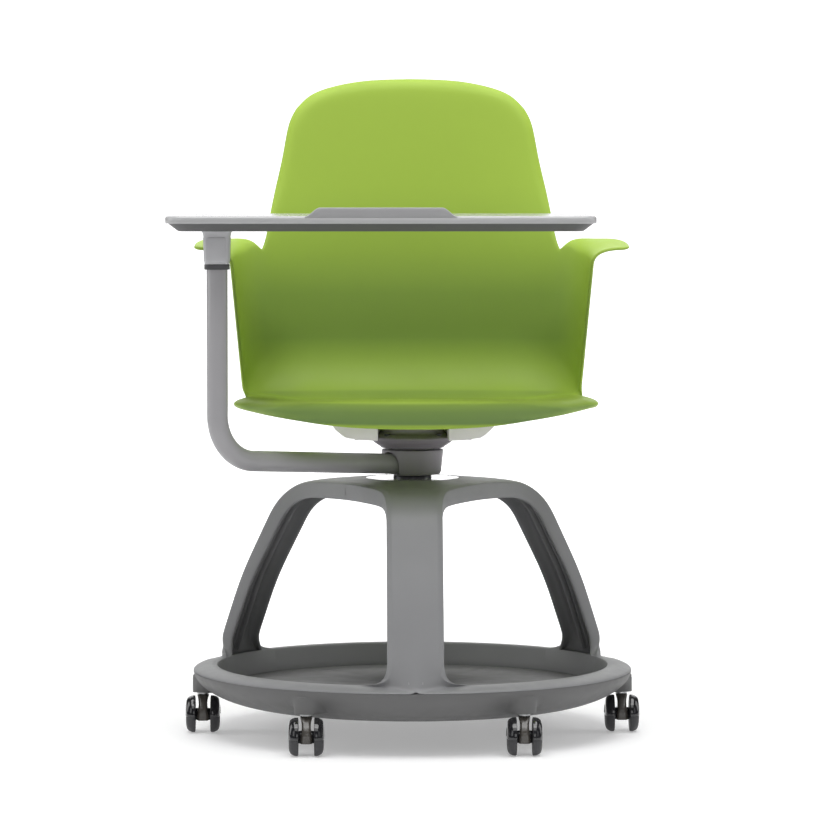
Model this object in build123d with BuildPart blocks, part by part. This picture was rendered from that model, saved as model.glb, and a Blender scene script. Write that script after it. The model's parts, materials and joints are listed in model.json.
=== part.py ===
from build123d import *
import os
from math import cos, radians, sin, sqrt

os.makedirs("parts", exist_ok=True)

# Student desk chair, millimetres. The floor is Z = 0 and the swivel axis is the Z axis.
# The sitter faces -Y, so +X is on the right of someone who looks at the chair from the front.

# ---------------------------------------------------------------- driving dimensions
LEG_COUNT = 3
LEG_WIDTH = 74.0
LEG_WALL = 5.0
LEG_SKIN = 4.0
LEG_FOOT_FILLET = 28.0
WINDOW_HUB_DISTANCE = 105.0
WINDOW_HUB_FILLET = 150.0
DOME_POINTS = [(60.0, 346.5), (186.0, 334.3), (254.0, 205.0), (296.0, 88.0)]
DOME_DEPTHS = [25.0, 22.0, 19.0, 17.5]
DOME_TOP_FILLET = 85.0
DOME_SIDE_FILLET = 480.0
RIB_OFFSET = 8.7
RIB_THICKNESS = 2.4
RIB_RECESS = 6.5

RING_OUTER_R = 297.3
RING_LIP_R = 292.0
RING_INNER_R = 265.0
RING_FOOT_R = 257.0
RING_TOP_Z = 93.0
RING_LIP_Z = 89.0
RING_SEAM_Z = 85.0
RING_WALL = 3.5
RING_LAND = 2.0
RING_CROWN = 0.5

PAN_FLOOR_Z = 61.0
PAN_FLOOR_THICKNESS = 3.5
PAN_MAT_R = 256.0
PAN_MAT_THICKNESS = 0.6
PAN_WALL = 4.0
PAN_REACH = 98.0
PAN_DROP = 46.5
PAN_ROUNDNESS = 1.84
PAN_CENTRE_R = RING_OUTER_R - PAN_REACH
PAN_STEPS = 8
PAN_RIB_COUNT = 12
PAN_RIB_START_DEG = 15
PAN_RIB_LENGTH = 33.0
PAN_RIB_Z = 42.5
PAN_WEB_Z = 50.0
PAN_SCREW_CIRCLE_R = 269.0
PAN_SCREW_HEAD_Z = 61.0
PAN_SCREW_JOINT_Z = 66.0
PAN_SCREW_TOP_Z = 76.0
PAN_SCREW_START_DEG = 30
SCREW_R = 2.0
SCREW_HEAD_R = 4.0
SCREW_HEAD_HEIGHT = 2.5
SCREW_BOSS_R = 6.0
SMALL_CHAMFER = 1.0
OVERLAP = 1.0

BOSS_R = 35.0
BOSS_BOTTOM_Z = 262.0
COLUMN_R = 25.8
SPINDLE_R = 16.0
SPINDLE_SHOULDER_Z = 349.0
SPINDLE_TOP_Z = 406.0
RUNNING_GAP = 0.05
FACE_GAP = 0.3
HUB_PLATE_R = 63.0
HUB_PLATE_Z = 345.5
HUB_PLATE_THICKNESS = 3.0
CIRCLIP_Z = 401.5
CIRCLIP_THICKNESS = 2.0
CIRCLIP_GROOVE = 1.5
CIRCLIP_WIDTH = 5.0
WASHER_THICKNESS = 4.0
WASHER_R = 32.0
THRUST_THICKNESS = 1.2
LOWER_THRUST_R = 24.3
UPPER_THRUST_R = 28.0
BOLT_R = 6.0
BOLT_HEAD_R = 10.5
BOLT_HEAD_HEIGHT = 8.0
BOLT_LENGTH = 60.0

COLLAR_BOTTOM_Z = 350.5
COLLAR_TOP_Z = 384.0
COLLAR_BOTTOM_R = 38.0
COLLAR_TOP_R = 42.0
COLLAR_WALL = 2.5
COLLAR_HEEL = 4.0
ARM_HUB_R = 30.0
COLLAR_GAP = 2.0
BUSH_R = 20.0

SEAT_HUB_BOTTOM_Z = 386.0
SEAT_HUB_FLANGE_Z = 400.0
SEAT_HUB_TOP_Z = 424.0
SEAT_HUB_R = 43.0
SEAT_HUB_FLANGE_R = 57.0
SEAT_HUB_CAVITY_R = 30.0
SEAT_HUB_RIM = 3.0
SEAT_HUB_HEEL = 2.0
HUB_SCREW_CIRCLE_R = 49.0
HUB_SCREW_COUNT = 4
HUB_SCREW_START_DEG = 45
HUB_SCREW_DEPTH = 6.0

TUBE_R = 13.75
TUBE_WALL = 2.0
TUBE_SWING_DEG = 52.0
TUBE_RISE_DEG = 3.3
TUBE_START_Z = 363.5
TUBE_BEND_R = 62.0
POST_REACH = 328.0
POST_TOP_Z = 632.5
POST_CAP_TOP_Z = 639.0
POST_CAP_SIZE = 33.0
POST_PLUG_DEPTH = 36.0
PIN_R = 8.0
SOCKET_BORE_R = 11.0
SOCKET_FLARE = 7.0
SOCKET_PAD = 46.0
SOCKET_SCREW_SPACING = 27.0
SOCKET_TOP_Z = 683.0
SOCKET_BOTTOM_SIZE = 33.0
SOCKET_MIDDLE_SIZE = 37.0
SOCKET_TOP_SIZE = 46.0
CORNER_SHARE = 0.25

TABLET_WIDTH = 560.0
TABLET_DEPTH = 300.0
TABLET_CENTRE_X = -44.5
TABLET_FRONT_Y = -275.0
TABLET_TOP_Z = 703.0
TABLET_EDGE = 10.0
TABLET_FLOOR = 3.0
TABLET_RIM_R = 2.0
TABLET_STEP = 3.0
TABLET_CORNER_R = 28.0
TABLET_BEVEL = 17.0
TABLET_LIP_BASE = 194.0
TABLET_LIP_TOP = 160.0
TABLET_LIP_HEIGHT = 11.0
TABLET_LIP_THICKNESS = 9.0

SHELL_WALL = 4.5
SHELL_FOLD_R = 42.0
SHELL_STEPS = 12
SHELL_LEVELS = [0, 0.006, 0.022, 0.05, 0.1, 0.28, 0.48, 0.75, 1.0]
SEAT_TOP_Z = 462.0
SEAT_TIP_X = 239.0
SEAT_TIP_Y = -112.0
SEAT_TIP_R = 22.0
SEAT_EDGE_R = 9.0
SEAT_FRONT_Y = -235.0
SEAT_EDGE_DROP = 37.0
SEAT_TIP_DROP = 8.0
SEAT_EDGE_SPANS = 4
SEAT_EDGE_POWER = 2.2
SEAT_OVERLAP = 28.0
WALL_FRONT_Y = 32.0
WALL_LOW_X = 231.0
WALL_TOP_Z = 664.0
WALL_SPLAY = 0.096
WALL_ROUNDNESS = 2.8
BACK_LOW_Y = 172.0
BACK_LEAN = 30.0
BACK_FLATTEN = 1.4
BACK_TOP_Z = 890.0
BACK_WAIST_X = 203.0
BACK_SHOULDER = (160.0, 884.0)
BACK_SHOULDER_R = 65.0
REAR_TUCK = 1.2
ARMREST_ROOT_X = 246.0
ARMREST_TIP_X = 293.0
ARMREST_Z = 662.0
ARMREST_FRONT_Y = 38.0
ARMREST_REAR_Y = 128.0
ARMREST_CORNER_R = 14.0
ARMREST_SLOPE_DEG = 8.0
ARMREST_THICKNESS = 4.5
ARMREST_MIDDLE = 0.45
ARMREST_TAPER = 4.0
ARMREST_REAR_FLARE = 6.0
ARMREST_WAIST = 10.0
BRACKET_Z = 400.0
BRACKET_WALL = 4.0
BRACKET_BOTTOM = (186.0, 150.0)
BRACKET_TOP = (222.0, 190.0)
BRACKET_CORNER_R = 16.0
BRACKET_NOTCH = (92.0, 30.0)
SHELL_SCREW_SPACING_X = 150.0
SHELL_SCREW_SPACING_Y = 112.0
SHELL_BOSS_R = 9.0
SHELL_BOSS_Z = 424.0
SHELL_SCREW_LENGTH = 34.0

CASTER_COUNT = 6
CASTER_CIRCLE_R = 284.5
WHEEL_R = 24.5
WHEEL_WIDTH = 13.4
WHEEL_GAP = 20.6
CASTER_TRAIL = 11.0
AXLE_R = 3.0
STEM_R = 5.5
HOOD_INNER_R = 24.8
HOOD_OUTER_R = 25.6
CASTER_BOSS_R = 14.0
CASTER_BOSS_Z = 54.0
STEM_TOP_Z = 77.0
STEM_COLLAR_R = 8.0
STEM_COLLAR_Z = 51.6
STEM_BOTTOM_Z = 33.0
HOUSING_R = 14.5
HOUSING_WIDTH = 19.0
HOUSING_NECK_R = 9.5
HOUSING_TOP_Z = 50.8
HOOD_WIDTH = 40.0
HOOD_SKIRT = 2.0
AXLE_LENGTH = 46.0
WHEEL_EDGE_R = 2.5
CASTER_START_DEG = 30
AXLE_CHAMFER = 0.5
UPRIGHT_LIMIT = 0.1


# ---------------------------------------------------------------- shared geometry
def inset_corner(before, corner, after, depth):
    """The corner of a line that runs `depth` inside the dome line, on the side of the axis."""
    ax, az = corner[0] - before[0], corner[1] - before[1]
    bx, bz = after[0] - corner[0], after[1] - corner[1]
    la, lb = sqrt(ax * ax + az * az), sqrt(bx * bx + bz * bz)
    na, nb = (az / la, -ax / la), (bz / lb, -bx / lb)
    share = depth / (1 + na[0] * nb[0] + na[1] * nb[1])
    return (corner[0] + share * (na[0] + nb[0]), corner[1] + share * (na[1] + nb[1]))


def dome_line(depths):
    """The dome's four profile points, each moved inwards by its own depth."""
    first, second = DOME_POINTS[:2]
    third, last = DOME_POINTS[-2:]
    slope_in = (2 * first[0] - second[0], 2 * first[1] - second[1])
    slope_out = (2 * last[0] - third[0], 2 * last[1] - third[1])
    full = [slope_in] + DOME_POINTS + [slope_out]
    return [
        inset_corner(full[i], full[i + 1], full[i + 2], depths[i]) for i in range(len(depths))
    ]


def dome_zone(outer_depths, inner_depths, bore_r):
    """The closed profile between two inset lines of the dome, carried in to bore_r at the top."""
    outer = dome_line(outer_depths)
    inner = dome_line(inner_depths)
    top_outer = (bore_r, outer[0][1])
    top_inner = (bore_r, inner[0][1])
    with BuildSketch(Plane.XZ) as zone:
        with BuildLine():
            Polyline(top_outer, *outer, *reversed(inner), top_inner, close=True)
        make_face()
        corners = zone.vertices()
        for point, radius in (
            (outer[1], DOME_TOP_FILLET - outer_depths[1]),
            (inner[1], DOME_TOP_FILLET - inner_depths[1]),
            (outer[2], DOME_SIDE_FILLET),
            (inner[2], DOME_SIDE_FILLET),
        ):
            target = Vector(point[0], point[1], 0)
            fillet(corners.sort_by_distance(target)[0], radius=radius)
            corners = zone.vertices()
    return zone.sketch


def window_face(margin):
    """Plan of the three openings between the legs, each grown on every side by `margin`."""
    half_leg = LEG_WIDTH / 2 - margin
    near = WINDOW_HUB_DISTANCE - margin
    far = RING_OUTER_R + LEG_WIDTH
    sine, cosine = sin(radians(60)), cos(radians(60))

    def side(along):
        return (along - half_leg * sine) / cosine * sine - half_leg * cosine

    with BuildSketch(Plane.XY) as windows:
        with PolarLocations(0, LEG_COUNT, start_angle=90):
            Polygon(
                (near, side(near)), (far, side(far)), (far, -side(far)), (near, -side(near)), align=None
            )
        hub_corners = windows.vertices().filter_by(
            lambda v: sqrt(v.X**2 + v.Y**2) < RING_INNER_R
        )
        fillet(hub_corners, radius=WINDOW_HUB_FILLET)
    return windows.sketch


def leg_slabs(offset, thickness):
    """Plan of one upright slab per leg, to one side of the leg's middle line."""
    with BuildSketch(Plane.XY) as slabs:
        with PolarLocations(0, LEG_COUNT, start_angle=-90):
            with Locations((RING_INNER_R / 2 + BOSS_R / 2, offset)):
                Rectangle(RING_INNER_R - BOSS_R + LEG_SKIN, thickness)
    return slabs.sketch


def polar(radius, angle_deg):
    """A point on a circle about the axis: 0 degrees is straight in front of the chair (-Y)."""
    return (radius * sin(radians(angle_deg)), -radius * cos(radians(angle_deg)))


# ---------------------------------------------------------------- base: frame
no_depth = [0.0] * len(DOME_POINTS)
skin_depth = [LEG_SKIN] * len(DOME_POINTS)
over_depth = [d + LEG_WALL for d in DOME_DEPTHS]
rib_depth = [d - RIB_RECESS for d in DOME_DEPTHS]

with BuildPart() as leg_hollow:
    add(dome_zone(skin_depth, over_depth, BOSS_R))
    revolve(axis=Axis.Z)
    extrude(window_face(LEG_WALL), amount=BACK_TOP_Z, mode=Mode.SUBTRACT)
    with BuildSketch(Plane.XY):
        Circle(RING_OUTER_R + LEG_WIDTH)
    extrude(amount=RING_TOP_Z, mode=Mode.SUBTRACT)

with BuildPart() as leg_ribs:
    add(dome_zone([LEG_SKIN / 2] * len(DOME_POINTS), rib_depth, BOSS_R - OVERLAP))
    revolve(axis=Axis.Z)
    with BuildSketch(Plane.XY):
        add(leg_slabs(RIB_OFFSET, RIB_THICKNESS))
        add(leg_slabs(-RIB_OFFSET, RIB_THICKNESS))
    extrude(amount=BACK_TOP_Z, mode=Mode.INTERSECT)

with BuildPart() as dome_wall:
    add(dome_zone(no_depth, DOME_DEPTHS, BOSS_R))
    revolve(axis=Axis.Z)

foot_z = RING_TOP_Z - RING_WALL
web_middle = (LEG_WIDTH + LEG_FOOT_FILLET) / 2
web_end = LEG_WIDTH / 2 + LEG_FOOT_FILLET

with BuildPart() as leg_feet:
    for leg in range(LEG_COUNT):
        outward = polar(1, leg * 360 / LEG_COUNT)
        leg_plane = Plane(origin=(0, 0, 0), x_dir=(-outward[1], outward[0], 0), z_dir=(*outward, 0))
        with BuildSketch(leg_plane.offset(RING_FOOT_R)):
            for side in (-1, 1):
                with Locations((side * web_middle, foot_z + LEG_FOOT_FILLET / 2)):
                    Rectangle(LEG_FOOT_FILLET, LEG_FOOT_FILLET)
                with Locations((side * web_end, foot_z + LEG_FOOT_FILLET)):
                    Circle(LEG_FOOT_FILLET, mode=Mode.SUBTRACT)
        extrude(amount=RING_OUTER_R - RING_FOOT_R)
    add(dome_wall.part, mode=Mode.INTERSECT)

with BuildPart() as base_frame:
    add(dome_zone(no_depth, DOME_DEPTHS, COLUMN_R))
    revolve(axis=Axis.Z)
    window_cut = Plane.XY.offset(RING_LIP_Z - OVERLAP)
    extrude(window_cut * window_face(0), amount=BACK_TOP_Z, mode=Mode.SUBTRACT)
    add(leg_hollow.part, mode=Mode.SUBTRACT)
    add(leg_ribs.part)
    with BuildSketch(Plane.XZ):
        with BuildLine():
            Polyline(
                (RING_OUTER_R, RING_SEAM_Z),
                (RING_OUTER_R, RING_SEAM_Z + RING_LAND),
                (RING_LIP_R, RING_LIP_Z + RING_CROWN),
                (RING_INNER_R, RING_TOP_Z),
                (RING_FOOT_R, PAN_FLOOR_Z),
                (RING_FOOT_R + RING_WALL, PAN_FLOOR_Z),
                (RING_INNER_R + RING_WALL, RING_TOP_Z - RING_WALL - RING_CROWN),
                (RING_LIP_R, RING_SEAM_Z),
                close=True,
            )
        make_face()
    revolve(axis=Axis.Z)
    add(leg_feet.part)
    with BuildSketch(Plane.XY.offset(BOSS_BOTTOM_Z)):
        Circle(BOSS_R)
        Circle(COLUMN_R, mode=Mode.SUBTRACT)
    extrude(amount=HUB_PLATE_Z - HUB_PLATE_THICKNESS - BOSS_BOTTOM_Z)
    with BuildSketch(Plane.XY.offset(HUB_PLATE_Z - HUB_PLATE_THICKNESS)):
        Circle(HUB_PLATE_R + FACE_GAP)
    extrude(amount=LEG_WIDTH, mode=Mode.SUBTRACT)
    with BuildSketch(Plane.XY.offset(PAN_SCREW_JOINT_Z)):
        with PolarLocations(PAN_SCREW_CIRCLE_R, CASTER_COUNT, start_angle=PAN_SCREW_START_DEG):
            Circle(SCREW_BOSS_R)
    extrude(amount=RING_TOP_Z - RING_WALL - PAN_SCREW_JOINT_Z)
    with BuildSketch(Plane.XY.offset(PAN_SCREW_JOINT_Z)):
        with PolarLocations(PAN_SCREW_CIRCLE_R, CASTER_COUNT, start_angle=PAN_SCREW_START_DEG):
            Circle(SCREW_R)
    extrude(amount=PAN_SCREW_TOP_Z - PAN_SCREW_JOINT_Z, mode=Mode.SUBTRACT)
base_frame.part.label = "base_frame"
export_step(base_frame.part, "parts/base_frame.step")

# ---------------------------------------------------------------- base: storage pan
def skirt_line(wall):
    """Points down the pan's outer wall, a flattened quarter round, moved in by the wall's thickness."""
    reach = PAN_REACH - wall
    drop = PAN_DROP - wall
    points = []
    for step in range(PAN_STEPS + 1):
        across = sin(radians(90 * step / PAN_STEPS))
        down = (1 - across**PAN_ROUNDNESS) ** (1 / PAN_ROUNDNESS)
        points.append((PAN_CENTRE_R + reach * across, RING_SEAM_Z - drop * down))
    return points


rib_middle_r = PAN_CENTRE_R + PAN_WALL + PAN_RIB_LENGTH / 2

with BuildPart() as storage_pan:
    with BuildSketch(Plane.XZ):
        with BuildLine():
            outer_skirt = skirt_line(0)
            inner_skirt = skirt_line(PAN_WALL)
            Spline(*outer_skirt)
            Line(outer_skirt[-1], inner_skirt[-1])
            Spline(*inner_skirt)
            Line(inner_skirt[0], outer_skirt[0])
        make_face()
    revolve(axis=Axis.Z)
    with BuildSketch(Plane.XY.offset(PAN_FLOOR_Z - PAN_FLOOR_THICKNESS)):
        Circle(RING_FOOT_R + RING_WALL)
    extrude(amount=PAN_FLOOR_THICKNESS)
    with BuildSketch(Plane.XY.offset(PAN_FLOOR_Z)):
        Circle(PAN_MAT_R)
    extrude(amount=PAN_MAT_THICKNESS)
    with BuildSketch(Plane.XY.offset(PAN_WEB_Z)):
        Circle(RING_FOOT_R)
        Circle(RING_FOOT_R - PAN_WALL, mode=Mode.SUBTRACT)
    extrude(amount=PAN_FLOOR_Z - PAN_WEB_Z - OVERLAP)
    with BuildSketch(Plane.XY.offset(PAN_RIB_Z)):
        with PolarLocations(rib_middle_r, PAN_RIB_COUNT, start_angle=PAN_RIB_START_DEG):
            Rectangle(PAN_RIB_LENGTH, PAN_WALL)
    extrude(amount=PAN_FLOOR_Z - PAN_RIB_Z - OVERLAP)
    with BuildSketch(Plane.XY.offset(CASTER_BOSS_Z)):
        with PolarLocations(CASTER_CIRCLE_R, CASTER_COUNT):
            Circle(CASTER_BOSS_R)
    extrude(amount=STEM_TOP_Z - CASTER_BOSS_Z + PAN_WALL)
    with BuildSketch(Plane.XY.offset(PAN_SCREW_HEAD_Z - SCREW_HEAD_HEIGHT)):
        with PolarLocations(PAN_SCREW_CIRCLE_R, CASTER_COUNT, start_angle=PAN_SCREW_START_DEG):
            Circle(SCREW_BOSS_R)
    extrude(amount=PAN_SCREW_JOINT_Z - PAN_SCREW_HEAD_Z + SCREW_HEAD_HEIGHT)
    with BuildSketch(Plane.XY.offset(CASTER_BOSS_Z)):
        with PolarLocations(CASTER_CIRCLE_R, CASTER_COUNT):
            Circle(STEM_R)
    extrude(amount=STEM_TOP_Z - CASTER_BOSS_Z, mode=Mode.SUBTRACT)
    with BuildSketch():
        with PolarLocations(PAN_SCREW_CIRCLE_R, CASTER_COUNT, start_angle=PAN_SCREW_START_DEG):
            Circle(SCREW_HEAD_R)
    extrude(amount=PAN_SCREW_HEAD_Z, mode=Mode.SUBTRACT)
    with BuildSketch():
        with PolarLocations(PAN_SCREW_CIRCLE_R, CASTER_COUNT, start_angle=PAN_SCREW_START_DEG):
            Circle(SCREW_R)
    extrude(amount=PAN_SCREW_JOINT_Z, mode=Mode.SUBTRACT)
storage_pan.part.label = "storage_pan"
export_step(storage_pan.part, "parts/storage_pan.step")

with BuildPart() as pan_screws:
    with BuildSketch(Plane.XY.offset(PAN_SCREW_HEAD_Z)):
        with PolarLocations(PAN_SCREW_CIRCLE_R, CASTER_COUNT, start_angle=PAN_SCREW_START_DEG):
            Circle(SCREW_HEAD_R)
    extrude(amount=-SCREW_HEAD_HEIGHT)
    with BuildSketch(Plane.XY.offset(PAN_SCREW_HEAD_Z)):
        with PolarLocations(PAN_SCREW_CIRCLE_R, CASTER_COUNT, start_angle=PAN_SCREW_START_DEG):
            Circle(SCREW_R)
    extrude(amount=PAN_SCREW_TOP_Z - PAN_SCREW_HEAD_Z - OVERLAP)
pan_screws.part.label = "pan_screws"
export_step(pan_screws.part, "parts/pan_screws.step")


# ---------------------------------------------------------------- base: column
def turned_piece(profile):
    """A solid of revolution about the swivel axis from its closed (radius, height) profile."""
    with BuildPart() as turned:
        with BuildSketch(Plane.XZ):
            with BuildLine():
                Polyline(*profile, close=True)
            make_face()
        revolve(axis=Axis.Z)
    return turned.part


def sleeve(inner_r, outer_r, low_z, high_z):
    """The profile of a plain ring about the swivel axis."""
    return [(inner_r, low_z), (outer_r, low_z), (outer_r, high_z), (inner_r, high_z)]


hub_plate_low = HUB_PLATE_Z - HUB_PLATE_THICKNESS
turned_pieces = {
    "hub_plate": sleeve(COLUMN_R + FACE_GAP, HUB_PLATE_R, hub_plate_low, HUB_PLATE_Z),
    "column": [
        (BOLT_R, BOSS_BOTTOM_Z),
        (COLUMN_R, BOSS_BOTTOM_Z),
        (COLUMN_R, SPINDLE_SHOULDER_Z - SMALL_CHAMFER),
        (COLUMN_R - SMALL_CHAMFER, SPINDLE_SHOULDER_Z),
        (SPINDLE_R, SPINDLE_SHOULDER_Z),
        (SPINDLE_R, CIRCLIP_Z),
        (SPINDLE_R - CIRCLIP_GROOVE, CIRCLIP_Z),
        (SPINDLE_R - CIRCLIP_GROOVE, CIRCLIP_Z + CIRCLIP_THICKNESS),
        (SPINDLE_R, CIRCLIP_Z + CIRCLIP_THICKNESS),
        (SPINDLE_R, SPINDLE_TOP_Z - SMALL_CHAMFER),
        (SPINDLE_R - SMALL_CHAMFER, SPINDLE_TOP_Z),
        (BOLT_R, SPINDLE_TOP_Z),
    ],
    "column_circlip": sleeve(
        SPINDLE_R - CIRCLIP_GROOVE, SPINDLE_R + CIRCLIP_WIDTH, CIRCLIP_Z, CIRCLIP_Z + CIRCLIP_THICKNESS
    ),
    "column_washer": sleeve(BOLT_R, WASHER_R, BOSS_BOTTOM_Z - WASHER_THICKNESS, BOSS_BOTTOM_Z),
    "lower_thrust_washer": sleeve(
        SPINDLE_R + FACE_GAP, LOWER_THRUST_R, SPINDLE_SHOULDER_Z, SPINDLE_SHOULDER_Z + THRUST_THICKNESS
    ),
    "arm_bush": sleeve(SPINDLE_R + RUNNING_GAP, BUSH_R, COLLAR_BOTTOM_Z, COLLAR_TOP_Z),
    "upper_thrust_washer": sleeve(
        SPINDLE_R + FACE_GAP, UPPER_THRUST_R, COLLAR_TOP_Z + FACE_GAP, SEAT_HUB_BOTTOM_Z
    ),
    "seat_bearing": sleeve(SPINDLE_R + RUNNING_GAP, BUSH_R, SEAT_HUB_BOTTOM_Z, SEAT_HUB_FLANGE_Z),
    "seat_hub": [
        (BUSH_R, SEAT_HUB_BOTTOM_Z),
        (SEAT_HUB_R, SEAT_HUB_BOTTOM_Z),
        (SEAT_HUB_R + SMALL_CHAMFER, SEAT_HUB_BOTTOM_Z + SEAT_HUB_HEEL),
        (SEAT_HUB_FLANGE_R, SEAT_HUB_FLANGE_Z - SEAT_HUB_RIM),
        (SEAT_HUB_FLANGE_R, SEAT_HUB_FLANGE_Z),
        (SEAT_HUB_R, SEAT_HUB_FLANGE_Z),
        (SEAT_HUB_R, SEAT_HUB_TOP_Z),
        (SEAT_HUB_CAVITY_R, SEAT_HUB_TOP_Z),
        (SEAT_HUB_CAVITY_R, SEAT_HUB_FLANGE_Z),
        (BUSH_R, SEAT_HUB_FLANGE_Z),
    ],
}
for piece_name, profile in turned_pieces.items():
    piece = turned_piece(profile)
    if piece_name == "seat_hub":
        with BuildPart() as drilled:
            add(piece)
            with BuildSketch(Plane.XY.offset(SEAT_HUB_FLANGE_Z)):
                with PolarLocations(HUB_SCREW_CIRCLE_R, HUB_SCREW_COUNT, start_angle=HUB_SCREW_START_DEG):
                    Circle(SCREW_R)
            extrude(amount=-HUB_SCREW_DEPTH, mode=Mode.SUBTRACT)
        piece = drilled.part
    piece.label = piece_name
    export_step(piece, f"parts/{piece_name}.step")

with BuildPart() as column_bolt:
    with BuildSketch(Plane.XY.offset(BOSS_BOTTOM_Z - WASHER_THICKNESS)):
        RegularPolygon(BOLT_HEAD_R, 6)
    extrude(amount=-BOLT_HEAD_HEIGHT)
    with BuildSketch(Plane.XY.offset(BOSS_BOTTOM_Z - WASHER_THICKNESS)):
        Circle(BOLT_R)
    extrude(amount=BOLT_LENGTH)
column_bolt.part.label = "column_bolt"
export_step(column_bolt.part, "parts/column_bolt.step")


# ---------------------------------------------------------------- arm
arm_out = polar(1, -TUBE_SWING_DEG)
post_x, post_y = polar(POST_REACH, -TUBE_SWING_DEG)
rise = sin(radians(TUBE_RISE_DEG))
level = cos(radians(TUBE_RISE_DEG))
tube_plane = Plane(
    origin=(0, 0, TUBE_START_Z),
    x_dir=(-arm_out[1], arm_out[0], 0),
    z_dir=(arm_out[0] * level, arm_out[1] * level, rise),
)
post_plane = Plane(origin=(post_x, post_y, 0))

with BuildPart() as arm_hub:
    with BuildSketch(Plane.XY.offset(COLLAR_BOTTOM_Z)):
        Circle(ARM_HUB_R)
    extrude(amount=COLLAR_TOP_Z - COLLAR_BOTTOM_Z - COLLAR_WALL)
    with BuildSketch(Plane.XY.offset(COLLAR_BOTTOM_Z)):
        Circle(BUSH_R)
    extrude(amount=COLLAR_TOP_Z, mode=Mode.SUBTRACT)
arm_hub.part.label = "arm_hub"
export_step(arm_hub.part, "parts/arm_hub.step")

with BuildPart() as arm_collar:
    with BuildSketch(Plane.XZ):
        with BuildLine():
            Polyline(
                (BUSH_R, COLLAR_TOP_Z),
                (COLLAR_TOP_R - SMALL_CHAMFER, COLLAR_TOP_Z),
                (COLLAR_TOP_R, COLLAR_TOP_Z - SMALL_CHAMFER),
                (COLLAR_BOTTOM_R + SMALL_CHAMFER, COLLAR_BOTTOM_Z + COLLAR_HEEL),
                (COLLAR_BOTTOM_R - SMALL_CHAMFER, COLLAR_BOTTOM_Z),
                (COLLAR_BOTTOM_R - SMALL_CHAMFER - COLLAR_WALL, COLLAR_BOTTOM_Z),
                (COLLAR_TOP_R - COLLAR_WALL, COLLAR_TOP_Z - COLLAR_WALL),
                (BUSH_R, COLLAR_TOP_Z - COLLAR_WALL),
                close=True,
            )
        make_face()
    revolve(axis=Axis.Z)
    with BuildSketch(tube_plane):
        Circle(TUBE_R + COLLAR_GAP)
        with Locations((0, -COLLAR_TOP_R / 2)):
            Rectangle(2 * (TUBE_R + COLLAR_GAP), COLLAR_TOP_R)
    extrude(amount=POST_REACH / 2, mode=Mode.SUBTRACT)
arm_collar.part.label = "arm_collar"
export_step(arm_collar.part, "parts/arm_collar.step")

bend_z = TUBE_START_Z + POST_REACH * rise / level
tube_start = Vector(0, 0, TUBE_START_Z) + Vector(*arm_out, rise / level) * BUSH_R
tube_corner = Vector(post_x, post_y, bend_z)
tube_end = Vector(post_x, post_y, POST_TOP_Z)

with BuildPart() as arm_tube:
    with BuildLine() as tube_path:
        FilletPolyline(tube_start, tube_corner, tube_end, radius=TUBE_BEND_R)
    with BuildSketch(Plane(origin=tube_start, z_dir=tube_plane.z_dir)):
        Circle(TUBE_R)
        Circle(TUBE_R - TUBE_WALL, mode=Mode.SUBTRACT)
    sweep(path=tube_path.line)
    with BuildSketch(Plane.XY.offset(COLLAR_BOTTOM_Z - ARM_HUB_R)):
        Circle(ARM_HUB_R)
    extrude(amount=COLLAR_TOP_Z, mode=Mode.SUBTRACT)
arm_tube.part.label = "arm_tube"
export_step(arm_tube.part, "parts/arm_tube.step")

with BuildPart() as post_cap:
    with BuildSketch(post_plane.offset(POST_TOP_Z)):
        RectangleRounded(POST_CAP_SIZE, POST_CAP_SIZE, POST_CAP_SIZE * CORNER_SHARE)
    extrude(amount=POST_CAP_TOP_Z - POST_TOP_Z)
    with BuildSketch(post_plane.offset(POST_TOP_Z)):
        Circle(TUBE_R - TUBE_WALL)
    extrude(amount=-POST_PLUG_DEPTH)
    with BuildSketch(post_plane.offset(POST_CAP_TOP_Z)):
        Circle(PIN_R)
    extrude(amount=-POST_PLUG_DEPTH, mode=Mode.SUBTRACT)
post_cap.part.label = "post_cap"
export_step(post_cap.part, "parts/post_cap.step")

pin_low_z = POST_CAP_TOP_Z - POST_PLUG_DEPTH
pin_high_z = SOCKET_TOP_Z - TABLET_FLOOR - OVERLAP
with BuildPart() as pivot_pin:
    with BuildSketch(post_plane.offset(pin_low_z)):
        Circle(PIN_R)
    extrude(amount=pin_high_z - pin_low_z)
    chamfer(pivot_pin.edges().sort_by(Axis.Z)[-1], length=SMALL_CHAMFER)
pivot_pin.part.label = "pivot_pin"
export_step(pivot_pin.part, "parts/pivot_pin.step")

# ---------------------------------------------------------------- tablet
with BuildPart() as socket_bush:
    with BuildSketch(post_plane.offset(POST_CAP_TOP_Z + FACE_GAP)):
        Circle(SOCKET_BORE_R)
        Circle(PIN_R + RUNNING_GAP, mode=Mode.SUBTRACT)
    extrude(amount=SOCKET_TOP_Z - POST_CAP_TOP_Z - FACE_GAP)
socket_bush.part.label = "socket_bush"
export_step(socket_bush.part, "parts/socket_bush.step")

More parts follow.
